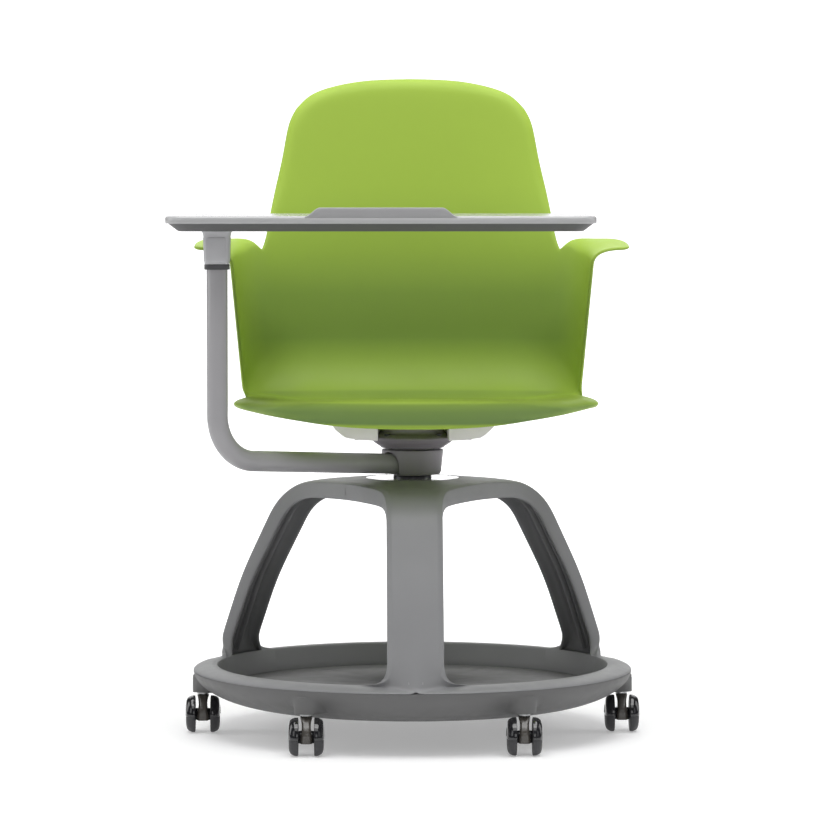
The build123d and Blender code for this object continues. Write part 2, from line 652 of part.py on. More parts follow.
with BuildPart() as tablet_socket:
    for height, size in (
        (POST_CAP_TOP_Z + FACE_GAP, SOCKET_BOTTOM_SIZE),
        (SOCKET_TOP_Z - SOCKET_FLARE, SOCKET_MIDDLE_SIZE),
    ):
        with BuildSketch(post_plane.offset(height)):
            RectangleRounded(size, size, size * CORNER_SHARE)
    loft(ruled=True)
    for height, size in (
        (SOCKET_TOP_Z - SOCKET_FLARE, SOCKET_MIDDLE_SIZE),
        (SOCKET_TOP_Z, SOCKET_TOP_SIZE),
    ):
        with BuildSketch(post_plane.offset(height)):
            RectangleRounded(size, size, size * CORNER_SHARE)
    loft(ruled=True)
    with BuildSketch(post_plane.offset(POST_CAP_TOP_Z)):
        Circle(SOCKET_BORE_R)
    extrude(amount=SOCKET_TOP_Z, mode=Mode.SUBTRACT)
    with BuildSketch(post_plane.offset(SOCKET_TOP_Z)):
        with GridLocations(SOCKET_SCREW_SPACING, SOCKET_SCREW_SPACING, 2, 2):
            Circle(SCREW_R)
    extrude(amount=-SOCKET_FLARE * 2, mode=Mode.SUBTRACT)
tablet_socket.part.label = "tablet_socket"
export_step(tablet_socket.part, "parts/tablet_socket.step")

tablet_middle_y = TABLET_FRONT_Y + TABLET_DEPTH / 2
under_top_z = TABLET_TOP_Z - TABLET_EDGE


def tablet_plane(height):
    """A level plane whose origin is under the middle of the tablet."""
    return Plane(origin=(TABLET_CENTRE_X, tablet_middle_y, height))


with BuildPart() as tablet_top:
    with BuildSketch(tablet_plane(under_top_z)):
        RectangleRounded(TABLET_WIDTH, TABLET_DEPTH, TABLET_CORNER_R)
    extrude(amount=TABLET_EDGE)
    top_rim = tablet_top.faces().sort_by(Axis.Z)[-1].edges()
    fillet(top_rim, radius=TABLET_RIM_R)
    with BuildSketch(Plane.XZ.offset(-TABLET_FRONT_Y)):
        with BuildLine():
            Polyline(
                (TABLET_CENTRE_X - TABLET_LIP_BASE / 2, TABLET_TOP_Z - TABLET_STEP),
                (TABLET_CENTRE_X + TABLET_LIP_BASE / 2, TABLET_TOP_Z - TABLET_STEP),
                (TABLET_CENTRE_X + TABLET_LIP_BASE / 2, TABLET_TOP_Z),
                (TABLET_CENTRE_X + TABLET_LIP_TOP / 2, TABLET_TOP_Z + TABLET_LIP_HEIGHT),
                (TABLET_CENTRE_X - TABLET_LIP_TOP / 2, TABLET_TOP_Z + TABLET_LIP_HEIGHT),
                (TABLET_CENTRE_X - TABLET_LIP_BASE / 2, TABLET_TOP_Z),
                close=True,
            )
        make_face()
    extrude(amount=-TABLET_LIP_THICKNESS)
tablet_top.part.label = "tablet_top"
export_step(tablet_top.part, "parts/tablet_top.step")

with BuildPart() as tablet_underside:
    for height, inset in ((under_top_z, TABLET_STEP), (SOCKET_TOP_Z, TABLET_BEVEL)):
        with BuildSketch(tablet_plane(height)):
            RectangleRounded(
                TABLET_WIDTH - 2 * inset, TABLET_DEPTH - 2 * inset, TABLET_CORNER_R - inset / 2
            )
    loft(ruled=True)
    for height, inset in (
        (under_top_z, TABLET_STEP + TABLET_FLOOR),
        (SOCKET_TOP_Z + TABLET_FLOOR, TABLET_BEVEL + TABLET_FLOOR),
    ):
        with BuildSketch(tablet_plane(height)):
            RectangleRounded(
                TABLET_WIDTH - 2 * inset, TABLET_DEPTH - 2 * inset, TABLET_CORNER_R - inset / 2
            )
    loft(ruled=True, mode=Mode.SUBTRACT)
    with BuildSketch(post_plane.offset(SOCKET_TOP_Z)):
        Rectangle(SOCKET_PAD, SOCKET_PAD)
    extrude(amount=under_top_z - SOCKET_TOP_Z)
    with BuildSketch(post_plane.offset(SOCKET_TOP_Z)):
        with GridLocations(SOCKET_SCREW_SPACING, SOCKET_SCREW_SPACING, 2, 2):
            Circle(SCREW_R)
    extrude(amount=TABLET_EDGE, mode=Mode.SUBTRACT)
    with BuildSketch(post_plane.offset(under_top_z)):
        with GridLocations(SOCKET_SCREW_SPACING, SOCKET_SCREW_SPACING, 2, 2):
            Circle(SCREW_HEAD_R)
    extrude(amount=-SCREW_HEAD_HEIGHT, mode=Mode.SUBTRACT)
tablet_underside.part.label = "tablet_underside"
export_step(tablet_underside.part, "parts/tablet_underside.step")

with BuildPart() as tablet_screws:
    with BuildSketch(post_plane.offset(under_top_z)):
        with GridLocations(SOCKET_SCREW_SPACING, SOCKET_SCREW_SPACING, 2, 2):
            Circle(SCREW_HEAD_R)
    extrude(amount=-SCREW_HEAD_HEIGHT)
    with BuildSketch(post_plane.offset(under_top_z - SCREW_HEAD_HEIGHT)):
        with GridLocations(SOCKET_SCREW_SPACING, SOCKET_SCREW_SPACING, 2, 2):
            Circle(SCREW_R)
    extrude(amount=SOCKET_TOP_Z - SOCKET_FLARE - under_top_z)
tablet_screws.part.label = "tablet_screws"
export_step(tablet_screws.part, "parts/tablet_screws.step")


# ---------------------------------------------------------------- seat: bracket and screws
with BuildPart() as seat_bracket:
    for inset in (0, BRACKET_WALL):
        with BuildSketch(Plane.XY.offset(BRACKET_Z + inset)):
            RectangleRounded(
                BRACKET_BOTTOM[0] - 2 * inset, BRACKET_BOTTOM[1] - 2 * inset, BRACKET_CORNER_R - inset
            )
        with BuildSketch(Plane.XY.offset(SHELL_BOSS_Z)):
            RectangleRounded(
                BRACKET_TOP[0] - 2 * inset, BRACKET_TOP[1] - 2 * inset, BRACKET_CORNER_R - inset
            )
        loft(ruled=True, mode=Mode.SUBTRACT if inset else Mode.ADD)
    with BuildSketch(Plane.XY.offset(BRACKET_Z)):
        with GridLocations(SHELL_SCREW_SPACING_X, SHELL_SCREW_SPACING_Y, 2, 2):
            Circle(SHELL_BOSS_R)
    extrude(amount=SHELL_BOSS_Z - BRACKET_Z)
    with BuildSketch(Plane.XY.offset(BRACKET_Z)):
        with GridLocations(SHELL_SCREW_SPACING_X, SHELL_SCREW_SPACING_Y, 2, 2):
            Circle(SCREW_HEAD_R)
    extrude(amount=SCREW_HEAD_HEIGHT, mode=Mode.SUBTRACT)
    with BuildSketch(Plane.XY.offset(BRACKET_Z)):
        Circle(SEAT_HUB_R)
        with GridLocations(SHELL_SCREW_SPACING_X, SHELL_SCREW_SPACING_Y, 2, 2):
            Circle(SCREW_R)
        with PolarLocations(HUB_SCREW_CIRCLE_R, HUB_SCREW_COUNT, start_angle=HUB_SCREW_START_DEG):
            Circle(SCREW_R)
    extrude(amount=SHELL_BOSS_Z - BRACKET_Z, mode=Mode.SUBTRACT)
    with BuildSketch(Plane.XY.offset(BRACKET_Z)):
        with Locations((0, -BRACKET_TOP[1] / 2)):
            Rectangle(BRACKET_NOTCH[0], 2 * BRACKET_NOTCH[1])
    extrude(amount=SHELL_BOSS_Z - BRACKET_Z, mode=Mode.SUBTRACT)
seat_bracket.part.label = "seat_bracket"
export_step(seat_bracket.part, "parts/seat_bracket.step")

with BuildPart() as hub_screws:
    with BuildSketch(Plane.XY.offset(BRACKET_Z + BRACKET_WALL)):
        with PolarLocations(HUB_SCREW_CIRCLE_R, HUB_SCREW_COUNT, start_angle=HUB_SCREW_START_DEG):
            Circle(SCREW_HEAD_R)
    extrude(amount=SCREW_HEAD_HEIGHT)
    with BuildSketch(Plane.XY.offset(BRACKET_Z + BRACKET_WALL)):
        with PolarLocations(HUB_SCREW_CIRCLE_R, HUB_SCREW_COUNT, start_angle=HUB_SCREW_START_DEG):
            Circle(SCREW_R)
    extrude(amount=-BRACKET_WALL - HUB_SCREW_DEPTH)
hub_screws.part.label = "hub_screws"
export_step(hub_screws.part, "parts/hub_screws.step")

with BuildPart() as shell_screws:
    with BuildSketch(Plane.XY.offset(BRACKET_Z)):
        with GridLocations(SHELL_SCREW_SPACING_X, SHELL_SCREW_SPACING_Y, 2, 2):
            Circle(SCREW_HEAD_R)
    extrude(amount=SCREW_HEAD_HEIGHT)
    with BuildSketch(Plane.XY.offset(BRACKET_Z + SCREW_HEAD_HEIGHT)):
        with GridLocations(SHELL_SCREW_SPACING_X, SHELL_SCREW_SPACING_Y, 2, 2):
            Circle(SCREW_R)
    extrude(amount=SHELL_SCREW_LENGTH)
shell_screws.part.label = "shell_screws"
export_step(shell_screws.part, "parts/shell_screws.step")


# ---------------------------------------------------------------- seat: one-piece shell
def shell_level(height):
    """(half width at the walls' front edge, rear depth, roundness) of the shell at a height."""
    low = SEAT_TOP_Z - SHELL_WALL
    fold = min(1.0, max(0.0, 1 - (height - low) / SHELL_FOLD_R))
    tuck = SHELL_FOLD_R * (1 - sqrt(1 - fold * fold))
    share = (height - low) / (BACK_TOP_Z - low)
    half_width = WALL_LOW_X + WALL_SPLAY * (height - low) - tuck
    rear = BACK_LOW_Y + BACK_LEAN * share**2 - WALL_FRONT_Y - REAR_TUCK * tuck
    flatten = max(0.0, (height - WALL_TOP_Z) / (BACK_TOP_Z - WALL_TOP_Z))
    return half_width, rear, WALL_ROUNDNESS + BACK_FLATTEN * flatten


def shell_curve(height, inset):
    """Points of the shell's plan curve at a height, from one wall's front edge round to the other."""
    half_width, rear, power = shell_level(height)
    points = []
    for step in range(SHELL_STEPS + 1):
        angle = radians(180 * step / SHELL_STEPS)
        side = 1 if step * 2 < SHELL_STEPS else -1
        across = side * abs(cos(angle)) ** (2 / power)
        back = abs(sin(angle)) ** (2 / power)
        points.append(((half_width - inset) * across, WALL_FRONT_Y + (rear - inset) * back))
    return points


def bowl(inset):
    """A solid bowl inside the shell's outer faces, moved in and up by `inset`, open towards the front."""
    seat_low = SEAT_TOP_Z - SHELL_WALL
    front = WALL_FRONT_Y - inset - OVERLAP
    with BuildPart() as solid:
        for share in SHELL_LEVELS:
            height = seat_low + share * (BACK_TOP_Z - seat_low)
            curve = shell_curve(height, inset)
            with BuildSketch(Plane.XY.offset(height + inset)):
                with BuildLine():
                    Spline(*curve)
                    Polyline(curve[-1], (curve[-1][0], front), (curve[0][0], front), curve[0])
                make_face()
        loft(ruled=True)
    return solid.part


def seat_edge_z(share):
    """Height of the seat's lower edge at a share of the way from the middle to the widest point."""
    return SEAT_TOP_Z - SEAT_EDGE_DROP + (SEAT_EDGE_DROP - SEAT_TIP_DROP) * share**SEAT_EDGE_POWER


with BuildPart() as seat_tray:
    with BuildSketch(Plane.XY.offset(SEAT_TOP_Z - SEAT_EDGE_DROP)) as plan:
        with BuildLine():
            ThreePointArc((-SEAT_TIP_X, SEAT_TIP_Y), (0, SEAT_FRONT_Y), (SEAT_TIP_X, SEAT_TIP_Y))
            Polyline(
                (SEAT_TIP_X, SEAT_TIP_Y),
                (WALL_LOW_X - OVERLAP, WALL_FRONT_Y),
                (WALL_LOW_X - SHELL_FOLD_R, WALL_FRONT_Y + SEAT_OVERLAP),
                (SHELL_FOLD_R - WALL_LOW_X, WALL_FRONT_Y + SEAT_OVERLAP),
                (OVERLAP - WALL_LOW_X, WALL_FRONT_Y),
                (-SEAT_TIP_X, SEAT_TIP_Y),
            )
        make_face()
        for side in (-1, 1):
            tip = plan.vertices().sort_by_distance((side * SEAT_TIP_X, SEAT_TIP_Y, 0))[0]
            fillet(tip, radius=SEAT_TIP_R)
    extrude(amount=SEAT_EDGE_DROP)
    seat_face = seat_tray.faces().sort_by(Axis.Z)[-1]
    rolled_rim = seat_face.edges().filter_by(lambda e: e.center().Y < WALL_FRONT_Y - OVERLAP)
    fillet(rolled_rim, radius=SEAT_EDGE_R)
    underside = seat_tray.faces().sort_by(Axis.Z)[0]
    rear_faces = seat_tray.faces().filter_by(
        lambda f: f.center().Y > WALL_FRONT_Y - OVERLAP and abs(f.normal_at().Z) < UPRIGHT_LIMIT
    )
    offset(amount=-SHELL_WALL, openings=[underside] + list(rear_faces))
    edge_line = [
        (SEAT_TIP_X * step / SEAT_EDGE_SPANS, seat_edge_z(abs(step) / SEAT_EDGE_SPANS))
        for step in range(-SEAT_EDGE_SPANS - 1, SEAT_EDGE_SPANS + 2)
    ]
    with BuildSketch(Plane.XZ.offset(-BACK_LOW_Y)):
        with BuildLine():
            Spline(*edge_line)
            Polyline(edge_line[-1], (edge_line[-1][0], 0), (edge_line[0][0], 0), edge_line[0])
        make_face()
    extrude(amount=BACK_TOP_Z, mode=Mode.SUBTRACT)

with BuildPart() as shell:
    add(bowl(0))
    with BuildSketch(Plane.XZ) as outline:
        with BuildLine():
            Polyline(
                (-BACK_WAIST_X, WALL_TOP_Z),
                (-BACK_SHOULDER[0], BACK_SHOULDER[1]),
                (0, BACK_TOP_Z),
                BACK_SHOULDER,
                (BACK_WAIST_X, WALL_TOP_Z),
                (ARMREST_TIP_X, WALL_TOP_Z),
                (ARMREST_TIP_X, 0),
                (-ARMREST_TIP_X, 0),
                (-ARMREST_TIP_X, WALL_TOP_Z),
                close=True,
            )
        make_face()
        fillet(outline.vertices().group_by(Axis.Y)[-2], radius=BACK_SHOULDER_R)
    extrude(amount=BACK_TOP_Z, both=True, mode=Mode.INTERSECT)
    add(bowl(SHELL_WALL), mode=Mode.SUBTRACT)
    add(seat_tray.part)
    tilt = radians(ARMREST_SLOPE_DEG)
    rest_plane = Plane(
        origin=(0, ARMREST_REAR_Y, ARMREST_Z), x_dir=(1, 0, 0), z_dir=(0, -sin(tilt), cos(tilt))
    )
    rest_front = ARMREST_FRONT_Y - ARMREST_REAR_Y
    rest_middle = rest_front * ARMREST_MIDDLE
    for side in (-1, 1):
        with BuildSketch(rest_plane) as rest:
            with BuildLine():
                Polyline(
                    (side * ARMREST_ROOT_X, rest_front),
                    (side * ARMREST_TIP_X, rest_front),
                    (side * (ARMREST_TIP_X - ARMREST_TAPER), rest_middle),
                    (side * (ARMREST_ROOT_X + ARMREST_REAR_FLARE), 0),
                    (side * BACK_WAIST_X, 0),
                    (side * (ARMREST_ROOT_X - ARMREST_WAIST), rest_middle),
                    close=True,
                )
            make_face()
            tip = rest.vertices().sort_by_distance((side * ARMREST_TIP_X, rest_front, 0))[0]
            fillet(tip, radius=ARMREST_CORNER_R)
        extrude(amount=ARMREST_THICKNESS)
    with BuildSketch(Plane.XY.offset(SHELL_BOSS_Z)):
        with GridLocations(SHELL_SCREW_SPACING_X, SHELL_SCREW_SPACING_Y, 2, 2):
            Circle(SHELL_BOSS_R)
    extrude(amount=SEAT_TOP_Z - SHELL_WALL / 2 - SHELL_BOSS_Z)
    with BuildSketch(Plane.XY.offset(SHELL_BOSS_Z)):
        with GridLocations(SHELL_SCREW_SPACING_X, SHELL_SCREW_SPACING_Y, 2, 2):
            Circle(SCREW_R)
    screw_depth = SHELL_SCREW_LENGTH + BRACKET_Z + SCREW_HEAD_HEIGHT - SHELL_BOSS_Z
    extrude(amount=screw_depth, mode=Mode.SUBTRACT)
shell.part.label = "shell"
export_step(shell.part, "parts/shell.step")


# ---------------------------------------------------------------- casters
def caster(number, x, y):
    """One twin-wheel caster whose stem stands at (x, y): its five pieces, each to its own file."""
    name = f"caster_{number}"
    stem_plane = Plane(origin=(x, y, 0))
    side_plane = Plane(origin=(x, y - CASTER_TRAIL, WHEEL_R), x_dir=(0, 1, 0), z_dir=(1, 0, 0))

    with BuildPart() as stem:
        with BuildSketch(stem_plane.offset(STEM_BOTTOM_Z)):
            Circle(STEM_R)
        extrude(amount=STEM_TOP_Z - STEM_BOTTOM_Z)
        with BuildSketch(stem_plane.offset(STEM_COLLAR_Z)):
            Circle(STEM_COLLAR_R)
        extrude(amount=CASTER_BOSS_Z - STEM_COLLAR_Z)
        chamfer(stem.edges().sort_by(Axis.Z)[-1], length=SMALL_CHAMFER)

    with BuildPart() as housing:
        with BuildSketch(side_plane.offset(-HOUSING_WIDTH / 2)):
            Circle(HOUSING_R)
            with BuildLine():
                Polyline(
                    (-HOUSING_R, 0),
                    (HOUSING_R, 0),
                    (CASTER_TRAIL + HOUSING_NECK_R, STEM_BOTTOM_Z - WHEEL_R),
                    (CASTER_TRAIL + HOUSING_NECK_R, HOUSING_TOP_Z - WHEEL_R),
                    (0, HOUSING_TOP_Z - WHEEL_R),
                    (-HOUSING_R, HOUSING_R),
                    close=True,
                )
            make_face()
        extrude(amount=HOUSING_WIDTH)
        with BuildSketch(side_plane.offset(-HOOD_WIDTH / 2)):
            Circle(HOOD_OUTER_R)
            Circle(HOOD_INNER_R, mode=Mode.SUBTRACT)
            with Locations((0, -HOOD_OUTER_R + HOOD_SKIRT)):
                Rectangle(3 * HOOD_OUTER_R, 2 * HOOD_OUTER_R, mode=Mode.SUBTRACT)
        extrude(amount=HOOD_WIDTH)
        with BuildSketch(stem_plane.offset(STEM_BOTTOM_Z)):
            Circle(STEM_R + RUNNING_GAP)
        extrude(amount=STEM_TOP_Z, mode=Mode.SUBTRACT)
        with BuildSketch(side_plane.offset(-HOOD_WIDTH / 2)):
            Circle(AXLE_R)
        extrude(amount=HOOD_WIDTH, mode=Mode.SUBTRACT)

    with BuildPart() as axle:
        with BuildSketch(side_plane.offset(-AXLE_LENGTH / 2)):
            Circle(AXLE_R)
        extrude(amount=AXLE_LENGTH)
        chamfer(axle.edges().filter_by(GeomType.CIRCLE), length=AXLE_CHAMFER)

    pieces = {"stem": stem.part, "housing": housing.part, "axle": axle.part}
    for hand, start in (("left", -WHEEL_GAP / 2 - WHEEL_WIDTH), ("right", WHEEL_GAP / 2)):
        with BuildPart() as wheel:
            with BuildSketch(side_plane.offset(start)):
                Circle(WHEEL_R)
            extrude(amount=WHEEL_WIDTH)
            fillet(wheel.edges().filter_by(GeomType.CIRCLE), radius=WHEEL_EDGE_R)
            with BuildSketch(side_plane.offset(start)):
                Circle(AXLE_R + RUNNING_GAP)
            extrude(amount=WHEEL_WIDTH, mode=Mode.SUBTRACT)
        pieces[f"wheel_{hand}"] = wheel.part

    for piece_name, piece in pieces.items():
        piece.label = f"{name}_{piece_name}"
        export_step(piece, f"parts/{name}_{piece_name}.step")


for number in range(CASTER_COUNT):
    caster(number + 1, *polar(CASTER_CIRCLE_R, CASTER_START_DEG + number * 360 / CASTER_COUNT))
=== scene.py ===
import json
import math

import bmesh
import bpy
import numpy as np
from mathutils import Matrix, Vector


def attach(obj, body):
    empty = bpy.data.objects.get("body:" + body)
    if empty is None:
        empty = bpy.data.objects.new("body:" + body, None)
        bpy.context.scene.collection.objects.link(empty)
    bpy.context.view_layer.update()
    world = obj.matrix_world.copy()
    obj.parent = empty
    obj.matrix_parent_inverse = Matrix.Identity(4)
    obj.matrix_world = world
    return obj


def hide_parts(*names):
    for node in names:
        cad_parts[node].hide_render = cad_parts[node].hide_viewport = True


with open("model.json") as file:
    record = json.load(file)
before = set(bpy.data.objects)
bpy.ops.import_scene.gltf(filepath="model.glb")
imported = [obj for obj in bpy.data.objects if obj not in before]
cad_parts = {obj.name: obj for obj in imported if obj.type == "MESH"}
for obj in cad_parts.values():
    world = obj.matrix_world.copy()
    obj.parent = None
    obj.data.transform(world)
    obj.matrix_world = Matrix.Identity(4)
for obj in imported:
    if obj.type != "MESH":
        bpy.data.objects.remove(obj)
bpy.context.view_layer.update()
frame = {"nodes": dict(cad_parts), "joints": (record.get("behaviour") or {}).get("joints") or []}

scene = bpy.context.scene
NODES = frame["nodes"]
JOINTS = {joint["name"]: joint for joint in frame["joints"]}


# ---------------------------------------------------------------- materials
def add_node(mat, kind, **values):
    """A shader node with some of its inputs set; an underscore stands for a space in an input's name."""
    made = mat.node_tree.nodes.new("ShaderNode" + kind)
    if kind == "Mix":
        made.data_type = "RGBA"
    for name, value in values.items():
        made.inputs[name.replace("_", " ")].default_value = value
    return made


def plastic(name, colour, rough=0.5, metallic=0.0, grain=900.0, bump=0.12, patch=0.06, wear_and_highlight=0.12, coat=0.0,
            brushed=False):
    """A procedural finish: moulding grain, faint uneven tone, lighter edges that are partly rubbed and partly a
    painted highlight.
    """
    mat = bpy.data.materials.new(name)
    mat.use_nodes = True
    links = mat.node_tree.links
    shader = mat.node_tree.nodes["Principled BSDF"]
    shader.inputs["Metallic"].default_value = metallic
    shader.inputs["Coat Weight"].default_value = coat
    shader.inputs["Coat Roughness"].default_value = 0.08
    coords = add_node(mat, "TexCoord")
    stretch = add_node(mat, "Mapping", Scale=(1, 1, 0.04) if brushed else (1, 1, 1))
    links.new(coords.outputs["Object"], stretch.inputs["Vector"])

    tone = add_node(mat, "TexNoise", Scale=9.0, Detail=5.0)
    links.new(coords.outputs["Object"], tone.inputs["Vector"])
    tint = add_node(mat, "Mix", A=(*[c * (1 - patch) for c in colour], 1),
                    B=(*[min(1, c * (1 + patch)) for c in colour], 1))
    links.new(tone.outputs["Fac"], tint.inputs["Factor"])

    geometry = add_node(mat, "NewGeometry")
    # Convex edges are lightened by pointiness: partly rubbed edges, partly a painted highlight along the edges.
    edge = add_node(mat, "MapRange", From_Min=0.53, From_Max=0.64, To_Max=wear_and_highlight)
    links.new(geometry.outputs["Pointiness"], edge.inputs["Value"])
    worn_and_highlit = add_node(mat, "Mix", B=(*[min(1, c * 1.5 + 0.08) for c in colour], 1))
    links.new(edge.outputs["Result"], worn_and_highlit.inputs["Factor"])
    links.new(tint.outputs["Result"], worn_and_highlit.inputs["A"])
    links.new(worn_and_highlit.outputs["Result"], shader.inputs["Base Color"])

    fine = add_node(mat, "TexNoise", Scale=grain, Detail=3.0)
    links.new(stretch.outputs["Vector"], fine.inputs["Vector"])
    relief = add_node(mat, "Bump", Strength=bump, Distance=0.0004)
    links.new(fine.outputs["Fac"], relief.inputs["Height"])
    links.new(relief.outputs["Normal"], shader.inputs["Normal"])

    sheen = add_node(mat, "MapRange", From_Min=0.3, From_Max=0.7, To_Min=max(0.02, rough - 0.05), To_Max=rough + 0.05)
    mid = add_node(mat, "TexNoise", Scale=60.0, Detail=4.0)
    links.new(stretch.outputs["Vector"], mid.inputs["Vector"])
    links.new(mid.outputs["Fac"], sheen.inputs["Value"])
    links.new(sheen.outputs["Result"], shader.inputs["Roughness"])
    return mat


# Heights and stops of the painted shade on the shell: each stop keeps a share of the plain colour, and the rest is
# turned darker and bluer.
PAINTED_SHADE_LOW_Z, PAINTED_SHADE_HIGH_Z = 0.42, 0.74
PAINTED_SHADE_LESS_RED, PAINTED_SHADE_LESS_GREEN, PAINTED_SHADE_MORE_BLUE = 0.30, 0.18, 1.1
PAINTED_SHADE_STOPS = [
    (0.420, 0.95), (0.740, 1.0), (0.4275, 0.95), (0.4305, 0.56), (0.446, 0.62), (0.4565, 0.76), (0.459, 1.0),
    (0.490, 0.95), (0.530, 0.74), (0.590, 0.76), (0.650, 0.92)
]


def painted_shade_by_height(mat):
    """Painted shade: darkens the colour of forward-facing skin by height, painting shade on the bowl below the tablet
    and on the front roll; also lowers the specular level.
    """
    links = mat.node_tree.links
    shader = mat.node_tree.nodes["Principled BSDF"]
    shader.inputs["Specular IOR Level"].default_value = 0.22
    plain = shader.inputs["Base Color"].links[0].from_socket
    coords = add_node(mat, "TexCoord")
    place = add_node(mat, "SeparateXYZ")
    links.new(coords.outputs["Object"], place.inputs["Vector"])
    facing = add_node(mat, "SeparateXYZ")
    links.new(coords.outputs["Normal"], facing.inputs["Vector"])
    forward = add_node(mat, "MapRange", From_Min=-0.10, From_Max=-0.75)
    links.new(facing.outputs["Y"], forward.inputs["Value"])
    height = add_node(mat, "MapRange", From_Min=PAINTED_SHADE_LOW_Z, From_Max=PAINTED_SHADE_HIGH_Z)
    links.new(place.outputs["Z"], height.inputs["Value"])
    ramp = add_node(mat, "ValToRGB")
    stops = ramp.color_ramp.elements
    for k, (z, share) in enumerate(PAINTED_SHADE_STOPS):
        at = (z - PAINTED_SHADE_LOW_Z) / (PAINTED_SHADE_HIGH_Z - PAINTED_SHADE_LOW_Z)
        stop = stops[k] if k < 2 else stops.new(at)
        stop.position = at
        shade_depth = 1 - share
        stop.color = (share - PAINTED_SHADE_LESS_RED * shade_depth, share - PAINTED_SHADE_LESS_GREEN * shade_depth,
                      min(1.0, share + PAINTED_SHADE_MORE_BLUE * shade_depth), 1)
    links.new(height.outputs["Result"], ramp.inputs["Fac"])
    painted_shade = add_node(mat, "Mix")
    painted_shade.blend_type = "MULTIPLY"
    links.new(forward.outputs["Result"], painted_shade.inputs["Factor"])
    links.new(plain, painted_shade.inputs["A"])
    links.new(ramp.outputs["Color"], painted_shade.inputs["B"])
    links.new(painted_shade.outputs["Result"], shader.inputs["Base Color"])
    return mat


GREEN = plastic("shell_green_painted_shade", (0.335, 0.485, 0.062), 0.46, grain=1100, bump=0.10, patch=0.03, wear_and_highlight=0.10)
# Strong edge lightening on the frame paints highlights along its leg and window edges.
FRAME_GREY = plastic("frame_grey", (0.228, 0.229, 0.235), rough=0.48, grain=1000, bump=0.16, wear_and_highlight=0.6)
PAN_GREY = plastic("pan_grey", (0.118, 0.118, 0.118), rough=0.52, grain=800, bump=0.2, wear_and_highlight=0.15)
TUBE_GREY = plastic("tube_paint", (0.335, 0.33, 0.34), rough=0.36, grain=1500, bump=0.1, coat=0.15)
# The slight magenta tint in the collar, hub and bracket colours is painted to cancel the green light bounced onto
# them from the seat.
COLLAR_GREY = plastic("collar_grey", (0.275, 0.26, 0.285), rough=0.42, grain=1100)
HUB_DARK = plastic("hub_dark", (0.235, 0.216, 0.24), rough=0.42, grain=1100)
BRACKET_GREY = plastic("bracket_paint", (0.95, 0.90, 0.95), rough=0.4, grain=1400, bump=0.08)
PLATE_GLOSS = plastic("plate_gloss", (0.62, 0.62, 0.63), rough=0.10, grain=300, bump=0.02, coat=1.0)
CAP_BLACK = plastic("cap_dark", (0.075, 0.075, 0.078), rough=0.4)
SOCKET_GREY = plastic("socket_grey", (0.52, 0.52, 0.535), rough=0.45)
TABLET_FACE = plastic("tablet_face", (0.42, 0.42, 0.425), rough=0.20, grain=1300, bump=0.03, wear_and_highlight=0.35)
TABLET_GREY = plastic("tablet_grey", (0.30, 0.30, 0.305), rough=0.42, grain=1300, bump=0.12, wear_and_highlight=0.35)
UNDER_GREY = plastic("underside_grey", (0.085, 0.086, 0.088), rough=0.55)
STEEL = plastic("steel", (0.45, 0.455, 0.46), rough=0.3, metallic=1.0, grain=1500, bump=0.12, brushed=True)
DARK_STEEL = plastic("column_steel", (0.06, 0.06, 0.065), rough=0.3, metallic=0.4, grain=1500, brushed=True)
ACETAL = plastic("acetal", (0.72, 0.72, 0.69), rough=0.4)
CASTER_GLOSS = plastic("caster_gloss", (0.012, 0.012, 0.014), rough=0.13, grain=500, bump=0.03, coat=0.6)
TREAD = plastic("tread", (0.035, 0.035, 0.038), rough=0.5, grain=1400, bump=0.3)

CAD_FINISH = {
    "shell": GREEN, "base_frame": FRAME_GREY, "storage_pan": PAN_GREY, "pan_screws": STEEL,
    "hub_plate": PLATE_GLOSS, "column": DARK_STEEL, "column_circlip": STEEL, "column_washer": STEEL, "column_bolt": STEEL,
    "lower_thrust_washer": ACETAL, "upper_thrust_washer": ACETAL, "seat_bearing": ACETAL, "arm_bush": ACETAL,
    "socket_bush": ACETAL, "seat_hub": HUB_DARK, "seat_bracket": BRACKET_GREY, "hub_screws": DARK_STEEL,
    "shell_screws": STEEL, "arm_hub": CAP_BLACK, "arm_collar": COLLAR_GREY, "arm_tube": TUBE_GREY,
    "post_cap": CAP_BLACK, "pivot_pin": STEEL, "tablet_socket": SOCKET_GREY, "tablet_top": TABLET_GREY,
    "tablet_underside": UNDER_GREY, "tablet_screws": STEEL,
}
for node_name, node in NODES.items():
    if node_name in CAD_FINISH:
        finish = CAD_FINISH[node_name]
    elif node_name.endswith("_housing"):
        finish = CASTER_GLOSS
    elif "_wheel_" in node_name:
        finish = TREAD
    else:
        finish = STEEL
    node.data.materials.clear()
    node.data.materials.append(finish)


# ---------------------------------------------------------------- mesh helpers
def piece(name, verts, faces, material):
    """A mesh object from points and faces, with doubled points merged and faces turned outwards."""
    mesh = bpy.data.meshes.new(name)
    mesh.from_pydata([tuple(map(float, v)) for v in verts], [], faces)
    work = bmesh.new()
    work.from_mesh(mesh)
    bmesh.ops.remove_doubles(work, verts=work.verts, dist=2e-6)
    bmesh.ops.dissolve_degenerate(work, edges=work.edges, dist=1e-6)
    bmesh.ops.recalc_face_normals(work, faces=work.faces)
    for face in work.faces:
        face.smooth = True
    work.to_mesh(mesh)
    work.free()
    obj = bpy.data.objects.new(name, mesh)
    scene.collection.objects.link(obj)
    mesh.materials.append(material)
    return obj


def grid_faces(rows, columns, closed=False, start=0):
    """Quads of a rows by columns sheet of points stored row by row."""
    span = columns if closed else columns - 1
    return [
        (
            start + r * columns + c,
            start + r * columns + (c + 1) % columns,
            start + (r + 1) * columns + (c + 1) % columns,
            start + (r + 1) * columns + c,
        )
        for r in range(rows - 1)
        for c in range(span)
    ]


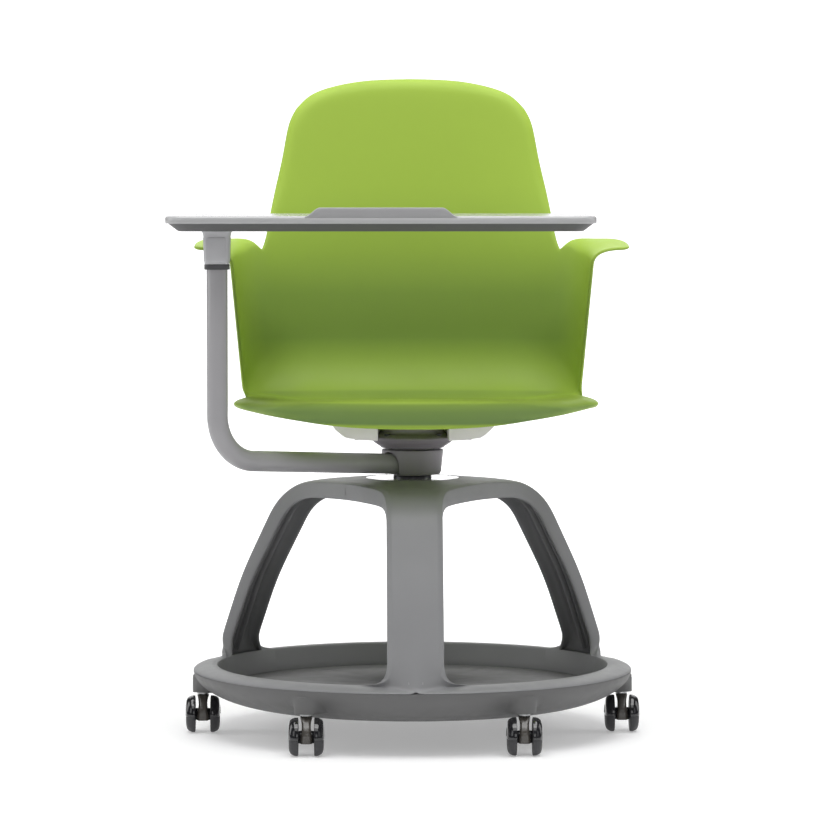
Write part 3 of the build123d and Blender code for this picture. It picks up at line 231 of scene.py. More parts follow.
def round_corners(points, radius, steps=4, closed=True):
    """A line of 2-D points with each corner replaced by an arc; radius is one number or one per point."""
    count = len(points)
    radii = radius if isinstance(radius, (list, tuple)) else [radius] * count
    out = []
    for i in range(count):
        here = Vector(points[i])
        if not closed and i in (0, count - 1):
            out.append(tuple(here))
            continue
        before = Vector(points[i - 1]) - here
        after = Vector(points[(i + 1) % count]) - here
        angle = before.angle(after)
        if radii[i] <= 0 or angle > math.pi - 0.02:
            out.append(tuple(here))
            continue
        reach = min(radii[i] / math.tan(angle / 2), 0.48 * before.length, 0.48 * after.length)
        r = reach * math.tan(angle / 2)
        bisector = (before.normalized() + after.normalized()).normalized()
        centre = here + bisector * (r / math.sin(angle / 2))
        first = here + before.normalized() * reach - centre
        last = here + after.normalized() * reach - centre
        turn = math.atan2(first.x * last.y - first.y * last.x, first.dot(last))
        for k in range(steps + 1):
            a = turn * k / steps
            spun = Vector((
                first.x * math.cos(a) - first.y * math.sin(a),
                first.x * math.sin(a) + first.y * math.cos(a),
            ))
            out.append(tuple(centre + spun))
    return out


def lathe(name, profile, material, centre=(0.0, 0.0, 0.0), axis="Z", segments=96, arc=None):
    """A closed (radius, height) profile turned about an axis through centre."""
    angles = [2 * math.pi * s / segments for s in range(segments)]
    if arc:
        angles = [arc[0] + (arc[1] - arc[0]) * s / segments for s in range(segments + 1)]
    verts = []
    for angle in angles:
        for r, h in profile:
            a, b = r * math.cos(angle), r * math.sin(angle)
            verts.append((centre[0] + a, centre[1] + b, centre[2] + h) if axis == "Z"
                         else (centre[0] + h, centre[1] + a, centre[2] + b))
    count = len(profile)
    faces = grid_faces(len(angles), count, closed=True)
    if arc:
        faces += [tuple(range(count)), tuple(range((len(angles) - 1) * count, len(angles) * count))]
    else:
        last = (len(angles) - 1) * count
        faces += [(last + c, last + (c + 1) % count, (c + 1) % count, c) for c in range(count)]
    return piece(name, verts, faces, material)


def rounded_rect(width, depth, radius, z, centre=(0.0, 0.0), steps=6):
    """One loop of points round a rectangle with rounded corners."""
    w, d = width / 2, depth / 2
    loop = []
    for cx, cy, start in ((w - radius, d - radius, 0), (radius - w, d - radius, 90),
                          (radius - w, radius - d, 180), (w - radius, radius - d, 270)):
        for k in range(steps + 1):
            a = math.radians(start + 90 * k / steps)
            loop.append((centre[0] + cx + radius * math.cos(a), centre[1] + cy + radius * math.sin(a), z))
    return loop


def stack(name, loops, material):
    """Loops of equal count joined one above the other, closed at both ends."""
    count = len(loops[0])
    verts = [p for loop in loops for p in loop]
    faces = grid_faces(len(loops), count, closed=True)
    faces += [tuple(range(count)), tuple(range((len(loops) - 1) * count, len(loops) * count))]
    return piece(name, verts, faces, material)


def modifier(obj, kind, **settings):
    added = obj.modifiers.new(kind.lower(), kind)
    for key, value in settings.items():
        setattr(added, key, value)
    return added


def smoothstep(x, low=0.0, high=1.0):
    t = min(1.0, max(0.0, (x - low) / (high - low)))
    return t * t * (3 - 2 * t)


# ---------------------------------------------------------------- shell
SHELL_WALL = 0.0045
WALL_FRONT_Y = 0.032
WALL_LOW_Z = 0.4575
WALL_HALF_WIDTH = 0.231 - SHELL_WALL
WALL_SPLAY = 0.096
NOTCH_Z = 0.652
NOTCH_X = 0.2045
BACK_TOP_Z = 0.890
BACK_SIDE = [
    (NOTCH_Z, NOTCH_X), (0.673, 0.200), (0.7135, 0.1935), (0.780, 0.179), (0.8245, 0.1705), (0.8480, 0.1590)
]
BACK_TOP = [(0.0, 0.890), (0.045, 0.8885), (0.079, 0.8850), (0.114, 0.8775), (0.140, 0.8665), (0.1590, 0.8480)]
SEAT_CORNER = [
    (0.2315, 0.030), (0.2365, 0.000), (0.2425, -0.035), (0.2472, -0.068), (0.2478, -0.090), (0.2395, -0.114),
    (0.2215, -0.134)
]
SEAT_FRONT_X = (0.195, 0.155, 0.105, 0.055, 0.0)
SEAT_FRONT_Y, SEAT_FRONT_R = -0.235, 0.306
LEFT_CORNER_IN = 0.0075
SEAT_LOW_Z, SEAT_LOW_RISE, SEAT_LOW_X = 0.4245, 0.0205, 0.239
REST_SLOPE = math.tan(math.radians(8))
REST_EDGE = [
    (0.2860, 0.0335), (0.2965, 0.0385), (0.2975, 0.0600), (0.2950, 0.0860), (0.2860, 0.1080), (0.2640, 0.1240),
    (0.2390, 0.1330), (0.2160, 0.1370)
]
REST_FRONT_Z = 0.6550
REAR_COLUMNS = 60
REST_COLUMNS = 12
FRONT_COLUMNS = 56
SEAT_ROWS, WALL_ROWS, BACK_ROWS = 9, 10, 16
LIP_PROFILE = [
    (0.46, 0.0), (0.78, 0.012), (0.94, 0.05), (1.0, 0.13), (0.98, 0.26), (0.86, 0.46), (0.68, 0.70), (0.50, 0.92),
    (0.55, 1.0)
]
TIP_PROFILE = [
    (0.30, 0.03), (0.56, 0.12), (0.76, 0.24), (0.90, 0.38), (0.97, 0.50), (1.0, 0.62), (0.97, 0.77), (0.89, 0.90),
    (0.80, 1.0)
]
ROLL_ROWS = len(LIP_PROFILE)


def smooth_line(points, count):
    """Points evenly spaced along a smooth curve through the given ones."""
    pts = np.array(points, float)
    padded = np.vstack([2 * pts[0] - pts[1], pts, 2 * pts[-1] - pts[-2]])
    dense = []
    for i in range(1, len(padded) - 2):
        p0, p1, p2, p3 = padded[i - 1:i + 3]
        for t in np.linspace(0, 1, 24, endpoint=False):
            dense.append(0.5 * (2 * p1 + (p2 - p0) * t + (2 * p0 - 5 * p1 + 4 * p2 - p3) * t**2
                                + (3 * p1 - p0 - 3 * p2 + p3) * t**3))
    dense.append(pts[-1])
    dense = np.array(dense)
    run = np.concatenate([[0], np.cumsum(np.linalg.norm(np.diff(dense, axis=0), axis=1))])
    wanted = np.linspace(0, run[-1], count)
    return np.stack([np.interp(wanted, run, dense[:, k]) for k in range(dense.shape[1])], axis=1)


def bowl_size(z):
    """(half width, rear depth, roundness) of the shell's inner face at a height above the fold."""
    share = (z - WALL_LOW_Z) / (BACK_TOP_Z - WALL_LOW_Z)
    flatten = max(0.0, (z - 0.664) / (BACK_TOP_Z - 0.664))
    return (
        WALL_HALF_WIDTH + WALL_SPLAY * (z - WALL_LOW_Z),
        0.172 + 0.030 * share**2 - WALL_FRONT_Y - SHELL_WALL,
        2.8 + 1.4 * flatten,
    )


def bowl_plan(z, fraction):
    """Point and outward direction in plan at a share of the way round the bowl at a height."""
    half, rear, power = bowl_size(z)
    angle = np.linspace(0, math.pi, 721)
    xs = half * np.sign(np.cos(angle)) * np.abs(np.cos(angle)) ** (2 / power)
    ys = WALL_FRONT_Y + rear * np.abs(np.sin(angle)) ** (2 / power)
    run = np.concatenate([[0], np.cumsum(np.hypot(np.diff(xs), np.diff(ys)))])
    at = fraction * run[-1]
    x, y = np.interp(at, run, xs), np.interp(at, run, ys)
    ahead, behind = min(run[-1], at + 0.004), max(0.0, at - 0.004)
    tangent = np.array([np.interp(ahead, run, xs) - np.interp(behind, run, xs),
                        np.interp(ahead, run, ys) - np.interp(behind, run, ys)])
    tangent /= np.linalg.norm(tangent)
    return np.array([x, y]), np.array([tangent[1], -tangent[0]])


def back_y(x, z):
    half, rear, power = bowl_size(z)
    return WALL_FRONT_Y + rear * max(0.0, 1 - (abs(x) / half) ** power) ** (1 / power)


def notch_fraction():
    low, high = 0.0, 0.5
    for _ in range(30):
        middle = (low + high) / 2
        if bowl_plan(NOTCH_Z, middle)[0][0] > NOTCH_X:
            low = middle
        else:
            high = middle
    return low


def rear_fractions():
    """Shares round the bowl for the rear columns: even in the walls, closer together at the back's edges."""
    notch = notch_fraction()
    walls = [notch * k / REST_COLUMNS for k in range(REST_COLUMNS)]
    inner = REAR_COLUMNS - 2 * REST_COLUMNS
    weights = [1.0] * inner
    for k, weight in enumerate((0.35, 0.35, 0.45, 0.6, 0.8)):
        weights[k] = weights[-1 - k] = weight
    run = np.concatenate([[0], np.cumsum(weights)])
    middle = [notch + (1 - 2 * notch) * value / run[-1] for value in run]
    return walls + middle + [1 - f for f in reversed(walls)]


def seat_height(x, y):
    """The dished seat surface."""
    across = min(1.0, abs(x) / 0.228)
    rear = smoothstep(y, -0.20, 0.04)
    dish = 0.0205 * rear * (1 - across**2.4)
    return 0.4625 - 0.004 * across**2 - dish


def front_outline():
    """Plan points of the seat's edge from the left wall's foot round the front to the right wall's foot."""
    right = list(SEAT_CORNER)
    for x in SEAT_FRONT_X:
        right.append((x, SEAT_FRONT_Y + SEAT_FRONT_R - math.sqrt(SEAT_FRONT_R**2 - x * x)))
    left = [(-x + LEFT_CORNER_IN * smoothstep(x, 0.15, 0.24), y) for x, y in reversed(right[:-1])]
    return smooth_line((right + left)[::-1], FRONT_COLUMNS + 1)


def lip_low(x):
    """Height of the seat's lower edge."""
    return SEAT_LOW_Z + SEAT_LOW_RISE * min(1.0, abs(x) / SEAT_LOW_X) ** 2.4


def build_shell():
    fractions = rear_fractions()
    centre = np.array([0.0, -0.01])
    verts = [(centre[0], centre[1], seat_height(*centre))]
    rings = [[] for _ in range(SEAT_ROWS + ROLL_ROWS)]
    fold_top = []
    columns = []
    for fraction in fractions:
        side = min(fraction, 1 - fraction)
        fold = 0.011 + 0.082 * smoothstep(side, 0.0, 0.27)
        base_z = seat_height(*(bowl_plan(WALL_LOW_Z + fold, fraction)[0] * 0.93))
        top_z = base_z + fold
        edge, outward = bowl_plan(top_z, fraction)
        start = edge - outward * fold
        start_z = seat_height(*start)
        column = []
        for r in range(1, SEAT_ROWS + 1):
            t = r / SEAT_ROWS
            p = centre + (start - centre) * t
            column.append((p[0], p[1], seat_height(*p)))
        for r in range(1, ROLL_ROWS + 1):
            a = math.pi / 2 * r / ROLL_ROWS
            p = start + outward * fold * math.sin(a)
            column.append((p[0], p[1], start_z + (top_z - start_z) * (1 - math.cos(a))))
        columns.append(column)
        fold_top.append(top_z)
    outline = front_outline()
    for k in range(1, FRONT_COLUMNS):
        here = outline[k]
        tangent = outline[min(k + 1, FRONT_COLUMNS)] - outline[k - 1]
        tangent /= np.linalg.norm(tangent)
        inward = np.array([-tangent[1], tangent[0]])
        if inward @ (centre - here) < 0:
            inward = -inward
        near_wall = smoothstep(here[1], -0.10, 0.03)
        low = lip_low(here[0]) + 0.003 * near_wall
        reach = 0.034 - 0.012 * smoothstep(abs(here[0]), 0.15, 0.24) - 0.008 * near_wall
        start = here + inward * reach
        crest = seat_height(*start)
        column = []
        for r in range(1, SEAT_ROWS + 1):
            t = r / SEAT_ROWS
            p = centre + (start - centre) * t
            column.append((p[0], p[1], seat_height(*p)))
        tip_share = smoothstep(abs(here[0]), 0.10, 0.225)
        for (out, down), (tip_out, tip_down) in zip(LIP_PROFILE, TIP_PROFILE):
            out += (tip_out - out) * tip_share
            down += (tip_down - down) * tip_share
            p = start - inward * reach * out
            column.append((p[0], p[1], crest - (crest - low) * down))
        columns.append(column)
    for column in columns:
        for r, point in enumerate(column):
            rings[r].append(point)
    for ring in rings:
        verts += ring
    count = len(columns)
    faces = [(0, 1 + c, 1 + (c + 1) % count) for c in range(count)]
    faces += grid_faces(len(rings), count, closed=True, start=1)
    seam = 1 + (len(rings) - 1) * count

    def strip(first, second):
        return [(first[c], first[c + 1], second[c + 1], second[c]) for c in range(len(first) - 1)]

    last = [seam + c for c in range(REAR_COLUMNS + 1)]
    rest_edge = smooth_line(REST_EDGE, REST_COLUMNS + 1)

    def plate_z(y, x):
        return REST_FRONT_Z + (y - WALL_FRONT_Y) * REST_SLOPE + 0.003 * smoothstep(x, 0.25, 0.29)

    def wall_top(c):
        position = min(c, REAR_COLUMNS - c)
        if position >= REST_COLUMNS:
            return NOTCH_Z
        share = position / REST_COLUMNS
        y = rest_edge[position][1] * 0.5 + bowl_plan(NOTCH_Z, fractions[position])[0][1] * 0.5
        bend = 0.020 * (1 - smoothstep(share, 0.70, 1.0))
        return min(plate_z(y, 0.25) - bend, NOTCH_Z + 0.006) - 0.003 * smoothstep(share, 0.75, 1.0)

    for r in range(1, WALL_ROWS + 1):
        row = []
        for c, fraction in enumerate(fractions):
            z = fold_top[c] + (wall_top(c) - fold_top[c]) * r / WALL_ROWS
            p, _ = bowl_plan(z, fraction)
            row.append(len(verts))
            verts.append((p[0], p[1], z))
        faces += strip(last, row)
        last = row
    wall_row = last
    for side in (1, -1):
        ends = [k if side == 1 else REAR_COLUMNS - k for k in range(REST_COLUMNS + 1)]
        below = [wall_row[c] for c in ends]
        bottoms = [np.array(verts[i]) for i in below]
        steps = 9
        for r in range(1, steps + 1):
            t = r / steps
            new = []
            for k in range(REST_COLUMNS):
                edge = rest_edge[k]
                foot = bottoms[k]
                lift = plate_z(edge[1], edge[0]) - 0.012 * (1 - smoothstep(edge[0], 0.200, 0.238))
                outer = np.array([side * edge[0], edge[1], lift - 0.0015])
                rise = max(0.004, lift - foot[2])
                corner = np.array([foot[0] + side * 0.004, foot[1] * 0.7 + edge[1] * 0.3, foot[2] + rise])
                first = foot + (corner - foot) * t
                second = corner + (outer - corner) * t
                new.append(first + (second - first) * t)
            row = []
            for point in new:
                row.append(len(verts))
                verts.append(tuple(point))
            notch_point = bottoms[-1] + np.array([side * 0.010 * t, -0.002 * t, 0.003 * t])
            row.append(len(verts))
            verts.append(tuple(notch_point))
            faces += strip(below, row) if side == 1 else strip(row, below)
            below = row
    side_line = smooth_line([(x, z) for z, x in BACK_SIDE], 60)
    top_line = smooth_line([(x, z) for x, z in BACK_TOP], 60)
    run_top = np.linspace(0, 1, 60)
    outline_points = np.vstack([side_line, top_line[::-1]])
    inner = REAR_COLUMNS - 2 * REST_COLUMNS
    bottom = [np.array([verts[wall_row[REST_COLUMNS + k]][0], NOTCH_Z]) for k in range(inner + 1)]
    half_bottom = bottom[0][0]
    heights = [1 - (1 - r / BACK_ROWS) ** 1.35 for r in range(BACK_ROWS + 1)]
    last = wall_row[REST_COLUMNS:REST_COLUMNS + inner + 1]
    for r in range(1, BACK_ROWS + 1):
        v = heights[r]
        side_x = np.interp(v, np.linspace(0, 1, 60), side_line[:, 0])
        side_z = np.interp(v, np.linspace(0, 1, 60), side_line[:, 1])
        row = []
        for k in range(inner + 1):
            lateral = bottom[k][0] / half_bottom
            across = abs(lateral)
            top_x = np.interp(across, run_top, top_line[:, 0])
            top_z = np.interp(across, run_top, top_line[:, 1])
            edge_x, edge_z = across * side_x, side_z
            low_x, low_z = across * half_bottom, NOTCH_Z
            x = (1 - v) * low_x + v * top_x + edge_x
            x -= (1 - v) * across * half_bottom + v * across * side_line[-1][0]
            z = (1 - v) * low_z + v * top_z + edge_z - ((1 - v) * NOTCH_Z + v * side_line[-1][1])
            away = np.min(np.hypot(outline_points[:, 0] - x, outline_points[:, 1] - z))
            width = 0.006 + 0.011 * smoothstep(z, NOTCH_Z, 0.75)
            into = max(0.0, 1 - away / width)
            roll = 0.75 * width * (1 - math.sqrt(max(0.0, 1 - into * into)))
            sign = 1 if lateral >= 0 else -1
            row.append(len(verts))
            verts.append((sign * x, back_y(x, z) + roll, z))
        faces += strip(last, row)
        last = row
    return verts, faces


shell_verts, shell_faces = build_shell()
# The shell's material carries painted shade by height on its forward-facing skin.
shell = piece("shell_visual", shell_verts, shell_faces, painted_shade_by_height(GREEN))
middle = min(shell.data.polygons, key=lambda f: (f.center - Vector((0, -0.01, 0.45))).length)
if middle.normal.z < 0:
    shell.data.flip_normals()
modifier(shell, "SOLIDIFY", thickness=SHELL_WALL, offset=-1.0, use_even_offset=False)
modifier(shell, "SUBSURF", levels=1, render_levels=2)
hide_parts("shell")
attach(shell, "seat")

# ---------------------------------------------------------------- seat hub and bracket
seat_hub = lathe("seat_hub_visual", round_corners([
    (0.0202, 0.3865), (0.0424, 0.3865), (0.0436, 0.3882), (0.0520, 0.3935), (0.0567, 0.3990), (0.0564, 0.4012),
    (0.0520, 0.4042), (0.0450, 0.4062), (0.0432, 0.4095), (0.0432, 0.4235), (0.0202, 0.4235)
], [0, 0.0008, 0.004, 0.012, 0.0006, 0.0006, 0.005, 0.004, 0.004, 0.0005, 0], 3), HUB_DARK, segments=128)
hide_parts("seat_hub")
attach(seat_hub, "seat")

BRACKET_LINE = [
    (0.111, 0.424), (0.104, 0.415), (0.0955, 0.4075), (0.090, 0.4042), (0.070, 0.4012), (0.0478, 0.4004),
    (0.0460, 0.4004), (0.020, 0.4004)
]
BRACKET_TOP_Z, BRACKET_NECK_HALF = 0.4235, 0.047
BRACKET_FRONT_Y, BRACKET_NECK_Y, BRACKET_REAR_Y = -0.084, 0.0, 0.084


def build_bracket():
    """The folded plate under the seat, cut back in the middle so that the hub's neck shows."""
    line = BRACKET_LINE + [(-x, z) for x, z in reversed(BRACKET_LINE)]
    line += [(-x, BRACKET_TOP_Z) for x, _ in BRACKET_LINE] + [(x, BRACKET_TOP_Z) for x, _ in reversed(BRACKET_LINE)]
    verts = []
    for step in range(5):
        for x, z in line:
            front = BRACKET_NECK_Y if abs(x) < BRACKET_NECK_HALF else BRACKET_FRONT_Y
            verts.append((x, front + (BRACKET_REAR_Y - front) * step / 4, z))
    count = len(line)
    faces = grid_faces(5, count, closed=True)
    for row in (0, 4):
        for c in range(count // 2 - 1):
            mirror = count - 1 - c
            first = row * count
            faces.append((first + c, first + c + 1, first + mirror - 1, first + mirror))
    bracket = piece("bracket_visual", verts, faces, BRACKET_GREY)
    modifier(bracket, "BEVEL", width=0.0022, segments=3, limit_method="ANGLE", angle_limit=math.radians(35))
    return bracket


bracket = build_bracket()
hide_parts("seat_bracket")
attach(bracket, "seat")

# ---------------------------------------------------------------- tablet
TABLET_MIDDLE = (-0.0445, -0.125)
TABLET_SIZE = (0.560, 0.300)
TABLET_CORNER = 0.028
LIP_BASE_HALF, LIP_TOP_HALF, LIP_RISE = 0.0985, 0.080, 0.0118
LIP_FOOT_Z, LIP_START_Z = 0.7000, 0.7022


def tablet_loop(inset, z):
    width, depth = TABLET_SIZE
    return rounded_rect(width - 2 * inset, depth - 2 * inset, TABLET_CORNER - inset * 0.7, z, TABLET_MIDDLE, 10)


def tablet_piece(name, levels, material):
    made = stack(name, [tablet_loop(inset, z) for inset, z in levels], material)
    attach(made, "tablet")
    return made


tablet_top = tablet_piece("tablet_top_visual", [
    (0.0030, 0.6931), (0.0012, 0.6931), (0.0004, 0.6934), (0.0, 0.6940), (0.0, 0.6975), (0.0, 0.7004),
    (0.0005, 0.7012), (0.0017, 0.7026), (0.0026, 0.7030), (0.0045, 0.7030), (0.012, 0.7030)
], TABLET_FACE)
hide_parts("tablet_top")
tablet_under = tablet_piece("tablet_underside_visual", [
    (0.0040, 0.6930), (0.0046, 0.6926), (0.0060, 0.6916), (0.0160, 0.6838), (0.0178, 0.6831), (0.0200, 0.6830),
    (0.0350, 0.6830)
], UNDER_GREY)
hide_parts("tablet_underside")


def build_tablet_lip():
    """The raised stop along the tablet's front edge, which rises and falls in a soft double curve."""
    front, depth = TABLET_MIDDLE[1] - TABLET_SIZE[1] / 2 + 0.00005, 0.0088
    verts = []
    count = 96
    for k in range(count + 1):
        offset = -LIP_BASE_HALF + 2 * LIP_BASE_HALF * k / count
        from_end, slope_run = LIP_BASE_HALF - abs(offset), LIP_BASE_HALF - LIP_TOP_HALF
        share = smoothstep(from_end, 0.0, slope_run)
        top = LIP_START_Z + LIP_RISE * (0.65 * share + 0.35 * min(1.0, from_end / slope_run))
        x = TABLET_MIDDLE[0] + offset
        verts += [(x, y, z) for y, z in (
            (front, LIP_FOOT_Z), (front, top - 0.0012), (front + 0.0004, top - 0.0004), (front + 0.0013, top),
            (front + depth - 0.0016, top), (front + depth - 0.0004, top - 0.0005),
            (front + depth, top - 0.0016), (front + depth + 0.0012, LIP_FOOT_Z)
        )]
    faces = grid_faces(count + 1, 8, closed=True) + [tuple(range(8)), tuple(range(count * 8, count * 8 + 8))]
    return piece("tablet_lip", verts, faces, TABLET_GREY)


tablet_lip = build_tablet_lip()
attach(tablet_lip, "tablet")

POST = JOINTS["tablet_turn"]["pos_m"]
SOCKET_LEVELS = [
    (0.0312, 0.6394), (0.0324, 0.6399), (0.0326, 0.6410), (0.0336, 0.6560), (0.0345, 0.6700), (0.0352, 0.6755),
    (0.0366, 0.6795), (0.0385, 0.6820), (0.0392, 0.6829)
]
SOCKET_CORNER = 0.0062
PANEL_LOW, PANEL_HIGH = (0.6430, 0.0105, 0.0165), (0.6745, 0.0112, 0.0175)
socket = stack("socket_visual", [
    rounded_rect(width, width, SOCKET_CORNER, z, (POST[0], POST[1]), 4) for width, z in SOCKET_LEVELS
], SOCKET_GREY)
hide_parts("tablet_socket")
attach(socket, "tablet")
for side in (-1, 1):
    for turn in (0, 1):
        low, half_low, face_low = PANEL_LOW
        high, half_high, face_high = PANEL_HIGH
        plate = []
        for z, half, out in ((low, half_low, face_low), (low + 0.002, half_low + 0.001, face_low + 0.0001),
                             (high - 0.002, half_high + 0.001, face_high), (high, half_high, face_high + 0.0002)):
            for across, away in ((-half, out - 0.0012), (-half + 0.0006, out + 0.0003),
                                 (half - 0.0006, out + 0.0003), (half, out - 0.0012)):
                place = (across, side * away) if turn == 0 else (side * away, across)
                plate.append((POST[0] + place[0], POST[1] + place[1], z))
        faces = grid_faces(4, 4, closed=True) + [(0, 1, 2, 3), (12, 13, 14, 15)]
        panel = piece(f"socket_panel_{'ab'[side > 0]}{turn}", plate, faces, SOCKET_GREY)
        modifier(panel, "BEVEL", width=0.0003, segments=2)
        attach(panel, "tablet")

# ---------------------------------------------------------------- turned and pressed parts kept from the CAD model
for node_name in ("arm_collar", "post_cap", "column_washer", "column_bolt"):
    node = NODES[node_name]
    modifier(node, "WELD", merge_threshold=0.00001)
    modifier(node, "BEVEL", width=0.0007, segments=2, limit_method="ANGLE", angle_limit=math.radians(40))

# ---------------------------------------------------------------- base frame
LEG_HALF = 0.037
LEG_WALL = 0.005
HUB_EDGE = 0.105
HUB_FILLET = 0.150
PLATE_R = 0.0633
FLARE_END = 15.4
FLARE_RIM = 8.0
STRIP = 0.0062
HIDDEN_FROM, HIDDEN_TO = 6, 15
BLEND_FROM_Z = {"foot": 0.131, "rim": 0.115}
BLEND_TO_Z = 0.095
RING_DEPTH = 0.0325
RING_INWARD, RING_DOWN = 0.24, 0.97
SKIN, RIM_SKIN = 0.004, 0.002
RING_INNER_R = 0.265
RING_OUTER_R = 0.2973
DOME = round_corners([(0.060, 0.3465), (0.186, 0.3343), (0.254, 0.205), (0.2958, 0.0885), (0.2973, 0.087)],
                     [0, 0.085, 0.48, 0, 0], steps=14, closed=False)
DOME_R = [p[0] for p in DOME]
DOME_Z = [p[1] for p in DOME]


def dome_z(r):
    return float(np.interp(r, DOME_R, DOME_Z))


def dome_normal(r):
    """(radial, vertical) normal of the dome's outer face."""
    low, high = max(0.0605, r - 0.003), min(0.2955, r + 0.003)
    slope = (dome_z(high) - dome_z(low)) / (high - low)
    length = math.hypot(slope, 1)
    return -slope / length, 1 / length


def leg_depth(r):
    return float(np.interp(r, [0.06, 0.186, 0.254, 0.296], [0.025, 0.022, 0.019, 0.0175]))


def lip_point(share, azimuth):
    """A point across the ring's lip, from its outer edge at share 0 to its inner edge at share 1."""
    r = RING_OUTER_R + (RING_INNER_R - RING_OUTER_R) * share
    z = float(np.interp(share, [0, 0.05, 0.16, 0.5, 1.0], [0.0868, 0.0882, 0.0895, 0.0917, 0.0930]))
    return np.array([r * math.cos(azimuth), r * math.sin(azimuth), z])


def sector_rows():
    """Rows of one sixth of the frame, from the hub to the ring.

    Each row is (kind, left radius or share or angle, window point, window direction, depth direction, depth, skin).
    """
    sixty = math.radians(60)
    bisector = np.array([math.cos(sixty), math.sin(sixty), 0.0])
    rows = []

    def frame_at(r, window):
        radial, up = dome_normal(r)
        normal = np.array([radial, 0.0, up])
        normal -= normal.dot(window) * window
        return -normal / np.linalg.norm(normal)

    for k in range(4):
        share = k / 4
        left_r = PLATE_R + 0.012 * share
        right_r = PLATE_R + (HUB_EDGE - PLATE_R) * share
        rows.append(("hub", left_r, np.array([right_r * bisector[0], right_r * bisector[1], dome_z(right_r)]),
                     bisector, np.array([0, 0, -1.0]), 0.006, SKIN))
    corner = np.array([(HUB_EDGE - LEG_HALF * math.sin(sixty)) / math.cos(sixty), LEG_HALF])
    middle = HUB_EDGE * bisector[:2]
    plan = round_corners([tuple(middle), tuple(corner), (0.30, LEG_HALF)], [0, HUB_FILLET, 0], 16, closed=False)
    plan = np.array(plan[:-1])
    run = np.concatenate([[0], np.cumsum(np.linalg.norm(np.diff(plan, axis=0), axis=1))])
    start_u = plan[-1][0]
    count = 13
    for k in range(count):
        at = run[-1] * k / (count - 1)
        p = np.array([np.interp(at, run, plan[:, 0]), np.interp(at, run, plan[:, 1])])
        before = np.array([np.interp(max(0, at - 0.002), run, plan[:, j]) for j in (0, 1)])
        after = np.array([np.interp(min(run[-1], at + 0.002), run, plan[:, j]) for j in (0, 1)])
        tangent = (after - before) / np.linalg.norm(after - before)
        window = np.array([-tangent[1], tangent[0], 0.0])
        r = math.hypot(*p)
        left_u = 0.0753 + (start_u - 0.0753) * (k / (count - 1)) ** 0.9
        place = np.array([p[0], p[1], dome_z(r)])
        rows.append(("leg", left_u, place, window, frame_at(r, window), leg_depth(r), SKIN))
    side = np.array([0.0, 1.0, 0.0])
    foot_u = 0.2800
    dense_u = np.linspace(start_u, foot_u, 200)
    dense_z = np.array([dome_z(u) for u in dense_u])
    run = np.concatenate([[0], np.cumsum(np.hypot(np.diff(dense_u), np.diff(dense_z)))])
    for k in range(1, 17):
        u = float(np.interp(run[-1] * k / 16, run, dense_u))
        r = math.hypot(u, LEG_HALF)
        place = np.array([u, LEG_HALF, dome_z(r)])
        rows.append(("leg", u, place, side, frame_at(u, side), leg_depth(u), SKIN))
    first = rows[-1]
    end_azimuth = math.radians(FLARE_END)
    end = lip_point(1.0, end_azimuth)
    down = rows[-1][2] - rows[-2][2]
    down /= np.linalg.norm(down)
    along = np.array([-math.sin(end_azimuth), math.cos(end_azimuth), 0.0])
    p0, p3 = first[2], end
    p1, p2 = p0 + down * 0.024, p3 - along * 0.025
    ring_down = np.array([-RING_INWARD * math.cos(end_azimuth), -RING_INWARD * math.sin(end_azimuth), -RING_DOWN])
    steps = 14
    for k in range(1, steps + 1):
        t = k / steps
        right_point = (1 - t)**3 * p0 + 3 * (1 - t)**2 * t * p1 + 3 * (1 - t) * t * t * p2 + t**3 * p3
        mix = smoothstep(t)
        window = side * (1 - mix) + np.array([-math.cos(end_azimuth), -math.sin(end_azimuth), 0.1]) * mix
        window /= np.linalg.norm(window)
        depth_way = first[4] * (1 - mix) + ring_down * mix
        depth_way /= np.linalg.norm(depth_way)
        if t <= 0.6:
            left = ("foot", t / 0.6)
        else:
            left = ("rim", math.radians(FLARE_RIM) * (t - 0.6) / 0.4)
        late = mix**2
        depth = first[5] * (1 - late) + RING_DEPTH * late
        rows.append((*left, right_point, window, depth_way, depth, SKIN - (SKIN - RIM_SKIN) * mix))
    for k in range(1, 15):
        share = k / 14
        azimuth = end_azimuth + (sixty - end_azimuth) * share
        rim = math.radians(FLARE_RIM) + (sixty - math.radians(FLARE_RIM)) * share
        c, s = math.cos(azimuth), math.sin(azimuth)
        rows.append(("rim", rim, lip_point(1.0, azimuth), np.array([-c, -s, 0.1]),
                     np.array([-RING_INWARD * c, -RING_INWARD * s, -RING_DOWN]), RING_DEPTH, RIM_SKIN))
    return rows, foot_u


def on_surface(point, edge_point, kind, edge_z):
    """The point moved up or down so that it lies on the frame's outer face beside an edge point."""
    r, edge_r = math.hypot(point[0], point[1]), math.hypot(edge_point[0], edge_point[1])
    on_dome = dome_z(r) - dome_z(edge_r)
    span = RING_OUTER_R - RING_INNER_R
    on_lip = lip_point((RING_OUTER_R - r) / span, 0.0)[2] - lip_point((RING_OUTER_R - edge_r) / span, 0.0)[2]
    mix = 0.0
    if kind in ("foot", "rim"):
        mix = smoothstep(edge_z, BLEND_FROM_Z[kind], BLEND_TO_Z)
    return np.array([point[0], point[1], edge_z + on_dome * (1 - mix) + on_lip * mix])


